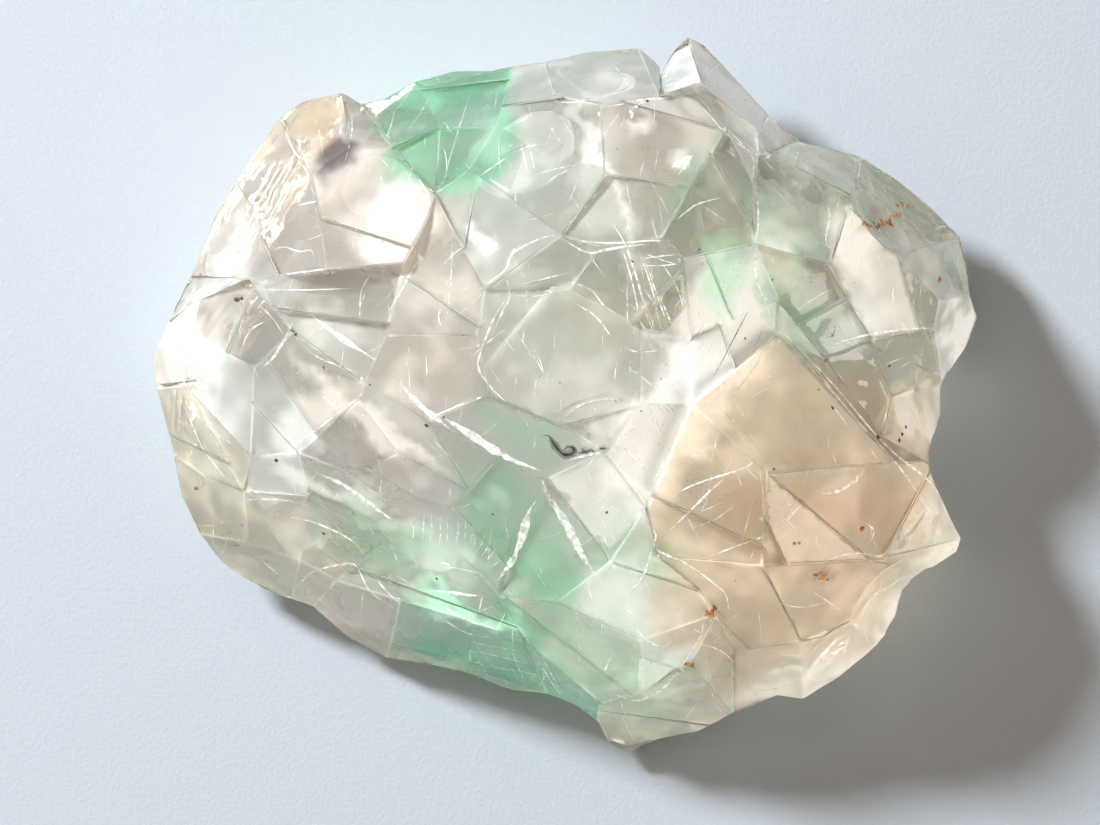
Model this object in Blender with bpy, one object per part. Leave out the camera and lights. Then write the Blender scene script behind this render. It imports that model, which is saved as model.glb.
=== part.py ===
"""A broken lump of fluorite, modelled as one solid that rests on a flat cleavage face.

The upper side is a net of flat cleavage faces between named corners. Its border is the outline
that is seen from above. Every face leans a few degrees its own way, and narrow risers join it to
its neighbours. The underside is cut by straight cleavage planes. Ledges are worked into the net,
and shell-shaped scoops and splits are cut out of the solid.
Units in this script are millimetres until the last step, which scales the mesh to metres.
+Z is up, +X points along the longest side, and the origin is the middle of the resting face's plane.
"""

import math
import random

import bmesh
import bpy
from mathutils import Matrix, Vector

MM = 0.001

WIDTH = 41.4  # along X, over everything
DEPTH = 36.0  # along Y, over everything
MERGE_WITHIN = 0.01  # corners closer than this are made one after each cut
FLATTEN_MOST = 0.5  # how far a corner may move up or down to lie in its face's plane
BORDER = 0.05  # how far each flat face stays inside its border, which leaves room for a riser
TILT_MOST = 3.5  # the most that a face leans away from the plane of its corners, in degrees
TILT_SEED = 11

# The outline, clockwise from the left-most tip as seen from above: name, x, y, z.
OUTLINE = [
    ("E1", -20.7, 1.9, 5.4),
    ("L1", -19.9, 3.7, 5.6),
    ("L2", -18.8, 6.0, 5.8),
    ("L3", -17.5, 9.2, 6.0),
    ("L4", -15.9, 11.7, 6.1),
    ("L5", -14.3, 13.9, 6.2),
    ("L6", -13.3, 14.7, 6.0),
    ("L7", -11.2, 15.2, 6.2),
    ("L8", -10.2, 14.6, 5.9),
    ("G1", -9.1, 14.9, 5.0),
    ("G2", -7.6, 15.8, 4.8),
    ("G3", -5.6, 16.3, 5.0),
    ("G4", -3.8, 16.3, 5.4),
    ("G5", -2.7, 16.5, 6.6),
    ("T1", -1.0, 16.7, 7.0),
    ("T2", 1.2, 17.2, 6.8),
    ("T3", 3.6, 17.4, 6.6),
    ("T4", 4.4, 16.8, 6.4),
    ("T5", 4.8, 16.3, 6.6),
    ("S1", 5.4, 17.3, 6.2),
    ("S2", 6.1, 18.0, 6.0),
    ("S3", 6.9, 17.6, 6.0),
    ("S4", 8.5, 15.9, 5.8),
    ("S5", 10.2, 14.0, 5.8),
    ("S6", 11.7, 12.7, 6.4),
    ("R1", 13.2, 12.4, 6.2),
    ("R2", 14.8, 12.0, 5.8),
    ("R3", 16.7, 10.8, 5.2),
    ("R4", 18.4, 9.4, 4.8),
    ("R5", 19.8, 8.0, 4.4),
    ("R6", 20.2, 6.0, 4.2),
    ("C1", 20.3, 5.0, 3.6),
    ("C2", 20.7, 3.9, 3.2),
    ("C3", 20.2, 2.6, 3.0),
    ("C4", 19.2, 1.2, 3.4),
    ("B1", 18.8, 0.6, 4.4),
    ("B2", 18.8, -0.9, 4.8),
    ("B3", 18.3, -2.2, 5.2),
    ("W1", 18.1, -3.3, 6.4),
    ("W2", 18.7, -5.2, 6.2),
    ("W3", 19.8, -7.1, 5.8),
    ("W4", 19.6, -7.8, 5.4),
    ("W5", 18.0, -8.8, 5.2),
    ("W6", 17.0, -9.8, 5.0),
    ("W7", 16.7, -11.2, 4.8),
    ("W8", 15.4, -12.7, 4.6),
    ("W9", 13.7, -14.1, 4.2),
    ("W10", 11.9, -15.2, 4.0),
    ("W11", 10.6, -15.0, 4.2),
    ("F1", 8.4, -15.9, 3.6),
    ("F2", 6.7, -16.9, 3.0),
    ("F3", 4.5, -17.3, 2.6),
    ("F4", 3.1, -18.0, 2.2),
    ("F5", 2.2, -17.5, 2.2),
    ("F6", 1.6, -16.4, 2.5),
    ("F7", 0.5, -15.5, 2.8),
    ("F8", -0.9, -15.0, 3.0),
    ("V1", -2.8, -14.8, 2.6),
    ("V2", -4.8, -14.0, 2.4),
    ("V3", -6.8, -13.5, 2.4),
    ("V4", -9.0, -13.2, 2.5),
    ("V5", -11.0, -12.1, 2.7),
    ("V6", -12.7, -10.6, 3.0),
    ("V7", -13.8, -10.2, 3.4),
    ("E9", -15.2, -9.7, 3.2),
    ("E8", -17.2, -8.5, 3.1),
    ("E7", -18.4, -6.9, 3.3),
    ("E6", -19.3, -5.0, 3.7),
    ("E5", -19.7, -2.9, 4.0),
    ("E4", -20.2, -0.9, 4.4),
    ("E3", -20.5, 0.4, 4.9),
]

# The corners of the underside, clockwise: the outline corner above, how far inward, z.
UNDER = [
    ("E1", 2.2, 2.4),
    ("L2", 1.6, 2.0),
    ("L4", 2.1, 2.4),
    ("L7", 1.8, 1.9),
    ("G1", 0.9, 2.2),
    ("G3", 1.7, 1.7),
    ("T1", 1.4, 2.5),
    ("T4", 1.5, 1.9),
    ("S2", 2.4, 2.6),
    ("S4", 1.6, 2.0),
    ("S6", 1.2, 2.4),
    ("R2", 1.9, 1.7),
    ("R4", 1.7, 2.0),
    ("R6", 2.2, 1.6),
    ("C2", 2.1, 1.5),
    ("B1", 1.3, 1.7),
    ("W1", 1.2, 2.4),
    ("W3", 2.3, 2.1),
    ("W6", 1.4, 2.3),
    ("W9", 1.7, 1.6),
    ("W11", 1.1, 1.9),
    ("F2", 1.8, 1.2),
    ("F4", 2.2, 0.9),
    ("F7", 1.0, 1.3),
    ("V1", 1.5, 1.0),
    ("V4", 1.6, 1.2),
    ("V6", 1.0, 1.1),
    ("E8", 1.7, 1.4),
    ("E6", 2.2, 1.3),
    ("E4", 1.7, 2.0),
]

# The corners inside the outline: name, x, y, z.
INNER = [
    # Left block, with its smoky corner and its frosted face
    ("LA", -10.7, 12.3, 11.4),
    ("LB", -12.6, 10.9, 11.6),
    ("LC", -8.6, 12.3, 11.0),
    ("LD", -6.5, 10.0, 12.8),
    ("LE", -6.9, 8.7, 13.4),
    ("LF", -8.0, 6.6, 14.2),
    ("LG", -11.8, 6.2, 13.6),
    ("LH", -15.8, 5.8, 11.6),
    ("LI", -18.3, 4.8, 9.4),
    # Left end: the rounded nub and the bright bands below it
    ("EA", -18.7, 3.0, 9.6),
    ("EB", -18.9, 0.5, 9.2),
    ("ED", -16.1, -4.7, 8.6),
    ("EE", -18.0, -4.1, 7.2),
    ("EF", -15.8, -7.4, 6.8),
    ("EG", -13.3, -8.2, 7.2),
    # Left middle, the sugary face and its dark neighbours
    ("MB", -13.5, 3.2, 13.0),
    ("MC", -10.0, 0.6, 14.0),
    ("MD", -10.2, -0.2, 13.6),
    ("ME", -13.3, -2.8, 10.9),
    ("MF", -15.7, -3.0, 9.8),
    ("MI", -8.9, 3.0, 14.4),
    ("MK", -15.5, 1.4, 11.4),
    # Green wedge at the back
    ("GA", -3.5, 13.3, 12.6),
    ("GB", -4.8, 11.2, 13.4),
    ("GC", -6.3, 13.3, 10.4),
    # Back ridge
    ("TA", 1.7, 14.4, 15.0),
    ("TB", 4.6, 14.8, 14.6),
    ("TD", -0.6, 14.9, 13.6),
    # Clear shard at the back right
    ("SA", 9.5, 12.0, 12.6),
    ("SB", 6.7, 15.5, 11.8),
    ("SC", 9.5, 13.3, 11.2),
    # Crown
    ("KA", -4.0, 5.2, 16.2),
    ("KB", -4.4, 3.0, 15.9),
    ("KC", -3.8, 0.0, 15.6),
    ("KD", 1.9, 10.9, 17.0),
    ("KE", -0.2, 7.9, 17.4),
    ("KF", 6.3, 14.8, 14.6),
    ("KG", 7.9, 13.3, 14.8),
    ("KH", 9.3, 10.3, 14.4),
    ("KI", 9.2, 7.5, 14.2),
    ("KJ", 6.2, 10.3, 16.8),
    ("KK", 4.7, 7.8, 17.6),
    ("KL", 1.7, 7.3, 17.9),
    ("KM", 5.7, 6.7, 17.2),
    ("KN", 3.7, 3.3, 16.5),
    ("KO", 6.2, 2.8, 15.6),
    ("KP", 3.7, -0.4, 15.1),
    ("KQ", 1.9, -2.8, 14.8),
    ("KR", 0.2, 5.3, 17.2),
    ("KS", -0.3, -1.5, 15.4),
    # Long ridge that runs down from the crown towards the front
    ("DA", -6.8, -1.2, 14.9),
    ("DB", -3.3, -2.9, 15.3),
    ("DC", -0.9, -4.1, 15.4),
    ("DD", -8.3, -2.9, 12.6),
    ("DE", -4.8, -4.7, 12.9),
    # Front left slope
    ("NB", -11.0, -3.8, 10.4),
    ("NC", -6.7, -6.6, 9.8),
    ("NE", -4.3, -8.8, 9.4),
    ("NF", -9.3, -7.6, 8.2),
    ("NG", -12.8, -5.0, 9.0),
    ("NH", -11.5, -9.2, 6.9),
    # Green ledge
    ("VA", -8.3, -10.2, 7.3),
    ("VB", -4.8, -11.2, 7.6),
    # Right block
    ("RA", 14.1, 9.3, 13.0),
    ("RB", 16.5, 6.9, 12.0),
    ("RC", 18.6, 4.8, 9.7),
    ("RD", 10.5, 4.8, 12.0),
    ("RE", 12.8, 1.9, 11.0),
    ("RF", 15.2, 2.8, 11.0),
    ("RG", 18.3, 3.3, 9.2),
    ("RH", 13.0, 6.5, 12.2),
    # Brown block
    ("BA", 16.2, 0.0, 9.0),
    ("BB", 15.7, -1.9, 9.5),
    # Tan wedge
    ("WA", 10.4, 3.0, 12.9),
    ("WC", 6.2, -0.4, 14.6),
    ("WD", 4.0, -5.6, 13.0),
    ("WE", 4.5, -7.9, 11.6),
    ("WF", 8.4, -12.7, 8.2),
    ("WG", 9.9, -3.8, 14.4),
    ("WI", 15.2, -8.2, 10.9),
    ("WJ", 9.7, -8.4, 12.6),
    ("WM", 16.3, -3.3, 11.4),
    ("WN", 11.7, -12.2, 9.6),
    # Pale front block
    ("FB", 6.7, -9.7, 10.4),
    ("FC", 7.5, -10.8, 9.8),
    ("FD", 6.2, -13.3, 8.4),
    ("FE", 3.7, -14.8, 7.4),
    ("FF", 1.7, -15.4, 6.5),
    ("FG", -3.3, -10.0, 10.0),
    ("FH", -2.1, -12.2, 8.2),
    ("FI", 2.2, -8.2, 13.4),
    ("FJ", 3.7, -12.2, 10.6),
    ("FK", -0.6, -10.2, 11.0),
]

# The flat faces between those corners.
FACES = {
    "smoky_corner": "L5 L6 L7 LA LB",
    "smoky_side": "L7 L8 LC LA",
    "frosted_face": "LB LA LC LD LE LF LG",
    "left_slope": "L2 L3 L4 L5 LB LG LH",
    "left_band": "L1 L2 LH LI",
    "left_corner": "L1 LI EA",
    "nub": "E1 L1 EA EB E3",
    "grey_face": "LH LG LF MI MC MB",
    "grey_side": "LI LH MB MK EA",
    "nub_face": "EA MK MF EB",
    "sugary_face": "MB MC MD ME MF MK",
    "bright_band": "EB MF ED",
    "yellow_band": "E3 EB ED EE E5 E4",
    "yellow_foot": "E5 EE ED EF E7 E6",
    "front_left_foot": "E7 EF EG V7 E9 E8",
    "front_left_face": "ED NG EG EF",
    "green_left": "L8 G1 G2 GC LC",
    "green_back": "G2 G3 G4 G5 GA GC",
    "green_front": "GC GA GB LD",
    "green_cleft": "LC GC LD",
    "back_ridge": "T1 T2 T3 TB TA TD",
    "back_ridge_end": "T3 T4 T5 TB",
    "crown_grey": "G5 T1 TD TA KD KE GB GA",
    "crown_left": "LD GB KE KA",
    "crown_shoulder": "LD KA KB MI LF LE",
    "crown_flank": "MI KB KC DA MC",
    "pink_face": "TA TB KF KG KJ KD",
    "pink_front": "KD KJ KK KL KE",
    "pink_side": "KG KH KI KM KK KJ",
    "shard_tip": "TB T5 S1 S2 SB",
    "shard_edge": "S2 S3 S4 S5 SC SB",
    "shard_plate": "TB SB SC SA KG KF",
    "shard_foot": "S5 S6 SA SC",
    "shard_back": "KG SA KH",
    "right_back": "SA S6 R1 R2 RA RH KI KH",
    "right_slope": "R2 R3 R4 R5 RB RA",
    "right_end": "R5 R6 C1 RC RB",
    "right_face": "RA RB RC RG RF RH",
    "right_olive": "KI RH RF RE RD",
    "clear_chip": "C1 C2 C3 C4 B1 RG RC",
    "brown_back": "RE RF BA BB",
    "brown_side": "RF RG B1 BA",
    "brown_foot": "BA B1 B2 B3 W1 BB",
    "white_upper": "KM KI RD KO",
    "white_lower": "KO RD WA WC",
    "white_step": "KN KO WC KP",
    "white_foot": "KP WC WD KQ",
    "ribbed_face": "KL KK KM KO KN KR",
    "crown_sliver": "KE KL KR KA",
    "round_boss": "KA KR KN KP KS KC KB",
    "boss_front": "KC KS KQ DC DB DA",
    "boss_chip": "KS KP KQ",
    "dome_back": "DC KQ WD FI",
    "dome_right": "WD WE FB FI",
    "green_gully": "DC FI FK FG",
    "dome_top": "FI FB FC FJ FK",
    "dome_front": "FC FD FE FJ",
    "dome_left": "FG FK FJ FE FF FH",
    "front_skirt": "FD F1 F2 F3 F4 F5 F6 FF FE",
    "front_notch": "FC WF F1 FD",
    "front_heel": "FH FF F6 F7 F8",
    "tan_back": "WC WA WM WG",
    "tan_ledge": "WA RE BB W1 WM",
    "tan_right": "WG WM W1 W2 W3 WI",
    "tan_left": "WC WG WJ WE WD",
    "tan_middle": "WG WI WJ",
    "tan_tip": "W3 W4 W5 WI",
    "tan_front": "WJ WI W5 W6 W7 WN",
    "tan_foot": "WN W7 W8 W9 W10",
    "tan_hollow": "WE WJ WN WF FC FB",
    "tan_heel": "WF WN W10 W11 F1",
    "white_olive": "RD RE WA",
    "ridge_lower": "MC DA DE DD MD",
    "ridge_end": "DA DB DE",
    "green_slope": "DB DC FG NE NC DE",
    "lilac_face": "DD DE NC NB",
    "under_sugary": "MD DD NB ME",
    "spear_face": "ME NB NC NF NG",
    "bright_foot": "MF ME NG ED",
    "hackle_face": "NC NE NF",
    "lower_left": "NG NF NH EG",
    "green_shelf": "NF NE FG FH VB VA NH",
    "shelf_left": "NH VA V4 V5 V6",
    "shelf_middle": "VA VB V2 V3 V4",
    "shelf_right": "VB FH F8 V1 V2",
    "shelf_notch": "EG NH V6 V7",
}

# Cleavage planes that cut the underside: compass angle in degrees (0 is +X, 90 is +Y), lean
# from the vertical in degrees, and how much of the rim they leave standing.
UNDERCUTS = [
    (4, 50, 0.7),
    (31, 38, 1.1),
    (63, 55, 0.5),
    (92, 43, 0.9),
    (121, 35, 1.3),
    (149, 56, 0.6),
    (181, 44, 1.2),
    (209, 58, 0.5),
    (236, 37, 0.8),
    (262, 46, 0.6),
    (293, 42, 0.9),
    (321, 54, 0.7),
    (340, 36, 1.4),
]

# Cleavage steps, where a thin plate is broken off a face: the face, the compass angle towards
# which the plate is missing, how far along that way from the face's middle the step lies,
# its depth, and how far its riser runs.
STEPS = [
    ("frosted_face", 252, 1.6, 0.30, 0.09),
    ("frosted_face_low", 252, 1.5, 0.26, 0.07),
    ("left_slope", 205, 1.2, 0.34, 0.10),
    ("grey_face", 262, 0.9, 0.28, 0.09),
    ("sugary_face", 214, 0.4, 0.36, 0.11),
    ("sugary_face_low", 222, 0.5, 0.28, 0.08),
    ("grey_side", 158, 0.6, 0.26, 0.09),
    ("spear_face", 246, 0.5, 0.34, 0.09),
    ("crown_grey", 98, 1.4, 0.26, 0.11),
    ("crown_left", 168, 0.9, 0.24, 0.08),
    ("crown_shoulder", 236, 0.8, 0.26, 0.08),
    ("pink_face", 74, 0.8, 0.28, 0.09),
    ("pink_side", 30, 0.6, 0.3, 0.09),
    ("ribbed_face", 318, 1.0, 0.22, 0.07),
    ("ribbed_face_low", 318, 0.5, 0.2, 0.06),
    ("right_face", 18, 0.9, 0.34, 0.10),
    ("right_olive", 300, 0.7, 0.3, 0.08),
    ("right_back", 62, 1.3, 0.3, 0.10),
    ("shard_plate", 52, 0.7, 0.26, 0.08),
    ("right_slope", 40, 0.6, 0.3, 0.09),
    ("tan_right", 332, 0.9, 0.32, 0.10),
    ("tan_left", 246, 0.8, 0.3, 0.08),
    ("tan_hollow", 228, 1.0, 0.3, 0.09),
    ("tan_front", 300, 1.0, 0.32, 0.10),
    ("tan_middle", 205, 0.5, 0.26, 0.07),
    ("dome_front", 252, 0.7, 0.26, 0.08),
    ("dome_left", 232, 0.6, 0.28, 0.08),
    ("front_skirt", 262, 0.5, 0.3, 0.09),
    ("green_slope", 222, 0.8, 0.3, 0.09),
    ("hackle_face", 230, 0.5, 0.26, 0.07),
    ("lilac_face", 238, 0.4, 0.26, 0.07),
    ("round_boss", 140, 1.8, 0.2, 0.07),
    ("green_back", 96, 0.6, 0.26, 0.08),
    ("white_upper", 24, 0.6, 0.28, 0.08),
    ("white_lower", 200, 0.5, 0.26, 0.07),
    ("front_left_face", 210, 0.2, 0.24, 0.07),
    ("green_shelf", 250, 0.5, 0.24, 0.08),
    ("lower_left", 232, 0.4, 0.24, 0.07),
    ("shelf_middle", 258, 0.5, 0.24, 0.08),
    ("shelf_left", 230, 0.6, 0.24, 0.08),
    ("yellow_band", 246, 0.4, 0.22, 0.07),
    ("brown_side", 350, 0.4, 0.24, 0.07),
]

# How far a face stands above the plane of its corners, or below it where negative.
LIFTS = {
    "frosted_face": 0.55,
    "frosted_face_low": 0.5,
    "smoky_side": 0.15,
    "grey_face": -0.5,
    "grey_face_low": -0.45,
    "crown_shoulder": -0.2,
    "green_front": -0.5,
    "green_cleft": -0.5,
    "green_back": -0.35,
    "pink_face": 0.3,
    "pink_front": -0.15,
    "shard_plate": -0.35,
    "right_face": 0.35,
    "right_olive": -0.3,
    "white_upper": -0.35,
    "white_lower": -0.45,
    "white_step": -0.2,
    "white_foot": -0.3,
    "white_olive": -0.4,
    "tan_back": 0.55,
    "tan_left": 0.6,
    "tan_middle": 0.6,
    "tan_right": 0.45,
    "tan_ledge": -0.3,
    "tan_hollow": 0.35,
    "tan_front": 0.4,
    "round_boss": 0.35,
    "green_gully": -0.55,
    "green_slope": -0.4,
    "lilac_face": -0.15,
    "dome_top": 0.45,
    "dome_left": 0.3,
    "dome_front": 0.35,
    "hackle_face": -0.25,
    "green_shelf": -0.3,
    "shelf_middle": 0.2,
    "yellow_band": 0.2,
    "brown_back": -0.3,
}

# Shell-shaped scoops in the middle of a face: the face, the shell's radius, and the depth.
SCOOPS = [
    ("back_ridge", 5.0, 0.45),
    ("left_slope_low", 6.0, 0.4),
    ("right_slope", 5.5, 0.45),
    ("tan_front_low", 6.0, 0.45),
    ("tan_foot", 5.0, 0.45),
    ("dome_left", 6.0, 0.4),
    ("hackle_face", 5.0, 0.35),
    ("front_left_face", 4.5, 0.35),
    ("crown_grey", 9.0, 0.35),
    ("frosted_face", 8.0, 0.3),
]

# Splits that open at the outline: x, y of the two ends, width, and z of the bottom.
SPLITS = [
    (-21.2, 0.35, -18.3, 0.78, 0.34, 5.6),
    (4.95, 18.4, 4.62, 14.9, 0.32, 6.0),
    (19.7, 0.7, 17.3, 1.62, 0.26, 5.2),
]


def corner_table():
    """Return the named corners of the upper side as vectors."""
    return {name: Vector((x, y, z)) for name, x, y, z in OUTLINE + INNER}


def face_plane(points):
    """Return the middle and the upward normal of the plane that fits the points best."""
    middle = sum(points, Vector()) / len(points)
    normal = Vector()
    for here, there in zip(points, points[1:] + points[:1]):
        normal += (here - middle).cross(there - middle)
    normal.normalize()
    if normal.z < 0:
        normal.negate()
    return middle, normal


def flatten_faces(corners):
    """Move the corners up or down a little, so that each named face is nearly flat."""
    start = {name: point.z for name, point in corners.items()}
    for _ in range(160):
        wanted = {name: [] for name in corners}
        for listing in FACES.values():
            names = listing.split()
            middle, normal = face_plane([corners[name] for name in names])
            for name in names:
                point = corners[name]
                offset = (point - middle).dot(normal)
                wanted[name].append(point.z - offset / normal.z)
        for name, heights in wanted.items():
            target = sum(heights) / len(heights)
            low = start[name] - FLATTEN_MOST
            high = start[name] + FLATTEN_MOST
            corners[name].z = min(max(target, low), high)


def insert_between(listing, first, second, extra):
    """Insert names between two that follow each other in a closed list. Return whether they do."""
    for place, name in enumerate(listing):
        if name == first and listing[(place + 1) % len(listing)] == second:
            listing[place + 1:place + 1] = extra
            return True
    return False


def cut_step(corners, faces, ring, step):
    """Split one face along a straight line and lower the part beyond it by the step's depth."""
    label, angle, offset, depth, run = step
    names = faces[label]
    middle, normal = face_plane([corners[name] for name in names])
    towards = Vector((math.cos(math.radians(angle)), math.sin(math.radians(angle)), 0.0))
    beyond = [(corners[name] - middle).dot(towards) - offset for name in names]
    count = len(names)
    leaving = [i for i in range(count) if beyond[i] <= 0.0 < beyond[(i + 1) % count]]
    coming = [i for i in range(count) if beyond[(i + 1) % count] <= 0.0 < beyond[i]]
    if len(leaving) != 1 or len(coming) != 1:
        raise ValueError("the step misses the face " + label)
    made = []
    for place, sign in ((leaving[0], 1), (coming[0], -1)):
        near = (place + (1 - sign) // 2) % count
        far = (place + (1 + sign) // 2) % count
        share = beyond[near] / (beyond[near] - beyond[far])
        high = corners[names[near]].lerp(corners[names[far]], share)
        away = corners[names[far]] - high
        low = high + away * min(run / away.length, 0.4) - Vector((0.0, 0.0, depth))
        upper = label + "_step" + ("_a" if sign > 0 else "_b")
        corners[upper] = high
        corners[upper + "_low"] = low
        made.append((names[near], names[far], upper, upper + "_low"))
    (near_a, far_a, high_a, low_a), (near_b, far_b, high_b, low_b) = made
    for listing in list(faces.values()):
        insert_between(listing, far_a, near_a, [low_a, high_a])
        insert_between(listing, near_b, far_b, [high_b, low_b])
    insert_between(ring, near_a, far_a, [high_a, low_a])
    insert_between(ring, far_b, near_b, [low_b, high_b])
    turned = names[names.index(far_a):] + names[:names.index(far_a)]
    outer = turned[:turned.index(near_b)]
    inner = turned[turned.index(near_b):]
    faces[label] = inner + [high_a, high_b]
    faces[label + "_low"] = [low_a] + outer + [low_b]
    faces[label + "_riser"] = [high_b, high_a, low_a, low_b]
    for name in outer:
        corners[name].z -= depth


def drawn_in(points, border):
    """Return a clockwise polygon's corners in plan, each moved inward from both of its sides."""
    count = len(points)
    moved = []
    for place in range(count):
        here = points[place]
        before = (here - points[place - 1]).normalized()
        after = (points[(place + 1) % count] - here).normalized()
        first = Vector((before.y, -before.x))
        second = Vector((after.y, -after.x))
        shift = (first + second) / max(1.0 + first.dot(second), 0.25)
        moved.append(here + shift * border)
    return moved


def plate_corners(label, points, rng):
    """Return the corners of one flat plate that lies a little inside the border of its face."""
    if label.endswith("_riser"):
        return [point.copy() for point in points]
    middle, normal = face_plane(points)
    lean = math.tan(math.radians(TILT_MOST))
    slope = Vector((rng.uniform(-lean, lean), rng.uniform(-lean, lean)))
    reach = max((point.xy - middle.xy).length for point in points)
    slope *= min(1.0, 4.0 / reach)
    flat = [point.xy for point in points]
    around = sum((here - there).length for here, there in zip(flat, flat[1:] + flat[:1]))
    area = 0.5 * abs(sum(here.cross(there) for here, there in zip(flat, flat[1:] + flat[:1])))
    border = min(BORDER, 0.5 * area / around)
    moved = drawn_in(flat, border)
    for _ in range(12):
        pairs = zip(flat, flat[1:] + flat[:1], moved, moved[1:] + moved[:1])
        if all((d - c).dot(b - a) > 0.2 * (b - a).length_squared for a, b, c, d in pairs):
            break
        border *= 0.7
        moved = drawn_in(flat, border)
    plate = []
    for spot in moved:
        away = spot - middle.xy
        height = middle.z - (away.x * normal.x + away.y * normal.y) / normal.z
        height += away.dot(slope) + LIFTS.get(label, 0.0)
        plate.append(Vector((spot.x, spot.y, height)))
    return plate


def net_mesh(corners, faces, ring):
    """Return the closed lump: the plates, the strips between them, the skirt and the bottom."""
    mesh = bmesh.new()
    rng = random.Random(TILT_SEED)
    plates = {}
    for label, names in faces.items():
        placed = plate_corners(label, [corners[name] for name in names], rng)
        plates[label] = {name: mesh.verts.new(point) for name, point in zip(names, placed)}
        mesh.faces.new(list(plates[label].values()))
    top = {name: mesh.verts.new(corners[name]) for name in ring}
    owner = {}
    for label, names in faces.items():
        for here, there in zip(names, names[1:] + names[:1]):
            owner[here, there] = label
    for (here, there), label in owner.items():
        inner = [plates[label][here], plates[label][there]]
        other = owner.get((there, here))
        if other is None:
            mesh.faces.new(inner + [top[there], top[here]])
        elif here < there:
            mesh.faces.new(inner + [plates[other][there], plates[other][here]])
    around = {name: {} for name in corners}
    for label, names in faces.items():
        for before, name, after in zip(names[-1:] + names[:-1], names, names[1:] + names[:1]):
            around[name][before] = (after, plates[label][name])
    for name, turns in around.items():
        ends = {after for after, vert in turns.values()}
        firsts = [before for before in turns if before not in ends]
        step = firsts[0] if firsts else next(iter(turns))
        loop = [top[name]] if firsts else []
        for _ in turns:
            step, vert = turns[step]
            loop.append(vert)
        if len(loop) > 2:
            mesh.faces.new(loop)
    lower = []
    for name, inward, z in UNDER:
        point = corners[name]
        flat = Vector((point.x, point.y, 0.0))
        shifted = flat * (1.0 - inward / flat.length)
        lower.append((ring.index(name), mesh.verts.new((shifted.x, shifted.y, z))))
    bottom = [mesh.verts.new((vert.co.x, vert.co.y, -1.0)) for index, vert in lower]
    for number, (index, vert) in enumerate(lower):
        after = (number + 1) % len(lower)
        next_index, next_vert = lower[after]
        count = (next_index - index) % len(ring)
        upper = [top[ring[(index + place) % len(ring)]] for place in range(count + 1)]
        half = count // 2
        for place in range(count):
            hang = vert if place < half else next_vert
            mesh.faces.new((upper[place], upper[place + 1], hang))
        mesh.faces.new((vert, upper[half], next_vert))
        mesh.faces.new((bottom[number], vert, next_vert, bottom[after]))
    mesh.faces.new(bottom)
    bmesh.ops.recalc_face_normals(mesh, faces=mesh.faces)
    return mesh


def cut_away(mesh, point, normal):
    """Cut off everything on the side of a plane that its normal points to, and close the cut."""
    geometry = mesh.verts[:] + mesh.edges[:] + mesh.faces[:]
    cut = bmesh.ops.bisect_plane(
        mesh, geom=geometry, dist=0.0001, plane_co=point, plane_no=normal, clear_outer=True
    )
    rim = [item for item in cut["geom_cut"] if isinstance(item, bmesh.types.BMEdge)]
    bmesh.ops.holes_fill(mesh, edges=rim, sides=0)
    bmesh.ops.recalc_face_normals(mesh, faces=mesh.faces)


def cut_underside(mesh, rim):
    """Cut the cleavage planes of the underside and the flat face that the lump rests on."""
    for angle, lean, left in UNDERCUTS:
        turn = math.radians(angle)
        tilt = math.radians(lean)
        outward = Vector((math.cos(turn), math.sin(turn), 0.0))
        normal = outward * math.cos(tilt) - Vector((0.0, 0.0, math.sin(tilt)))
        reach = max(point.dot(normal) for point in rim)
        cut_away(mesh, normal * (reach + left * math.sin(tilt)), normal)
    cut_away(mesh, Vector((0.0, 0.0, 0.0)), Vector((0.0, 0.0, -1.0)))
    bmesh.ops.triangulate(mesh, faces=mesh.faces, quad_method="BEAUTY", ngon_method="BEAUTY")


def make_object(name, mesh):
    """Put a bmesh into a new object of the scene and free it."""
    data = bpy.data.meshes.new(name)
    mesh.to_mesh(data)
    mesh.free()
    made = bpy.data.objects.new(name, data)
    bpy.context.scene.collection.objects.link(made)
    return made


def take_away(body, cutter):
    """Subtract the cutter from the body and remove the cutter."""
    cutter.hide_render = True
    cutter.display_type = "WIRE"
    modifier = body.modifiers.new("cut", "BOOLEAN")
    modifier.operation = "DIFFERENCE"
    modifier.solver = "EXACT"
    modifier.object = cutter
    depsgraph = bpy.context.evaluated_depsgraph_get()
    result = bpy.data.meshes.new_from_object(body.evaluated_get(depsgraph))
    body.modifiers.clear()
    clean = bmesh.new()
    clean.from_mesh(result)
    bmesh.ops.triangulate(clean, faces=clean.faces, quad_method="BEAUTY", ngon_method="BEAUTY")
    bmesh.ops.remove_doubles(clean, verts=clean.verts, dist=MERGE_WITHIN)
    bmesh.ops.dissolve_degenerate(clean, edges=clean.edges, dist=MERGE_WITHIN)
    bmesh.ops.triangulate(clean, faces=clean.faces, quad_method="BEAUTY", ngon_method="BEAUTY")
    clean.to_mesh(result)
    clean.free()
    old = body.data
    body.data = result
    bpy.data.meshes.remove(old)
    bpy.data.objects.remove(cutter)


def cut_scoops(body, corners, faces):
    """Cut the shell-shaped scoops, each with a ball that dips into its face."""
    for label, radius, depth in SCOOPS:
        middle, normal = face_plane([corners[name] for name in faces[label]])
        centre = middle + normal * (radius - depth + LIFTS.get(label, 0.0))
        mesh = bmesh.new()
        bmesh.ops.create_icosphere(mesh, subdivisions=4, radius=radius)
        bmesh.ops.translate(mesh, vec=centre, verts=mesh.verts)
        take_away(body, make_object("scoop", mesh))


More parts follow.
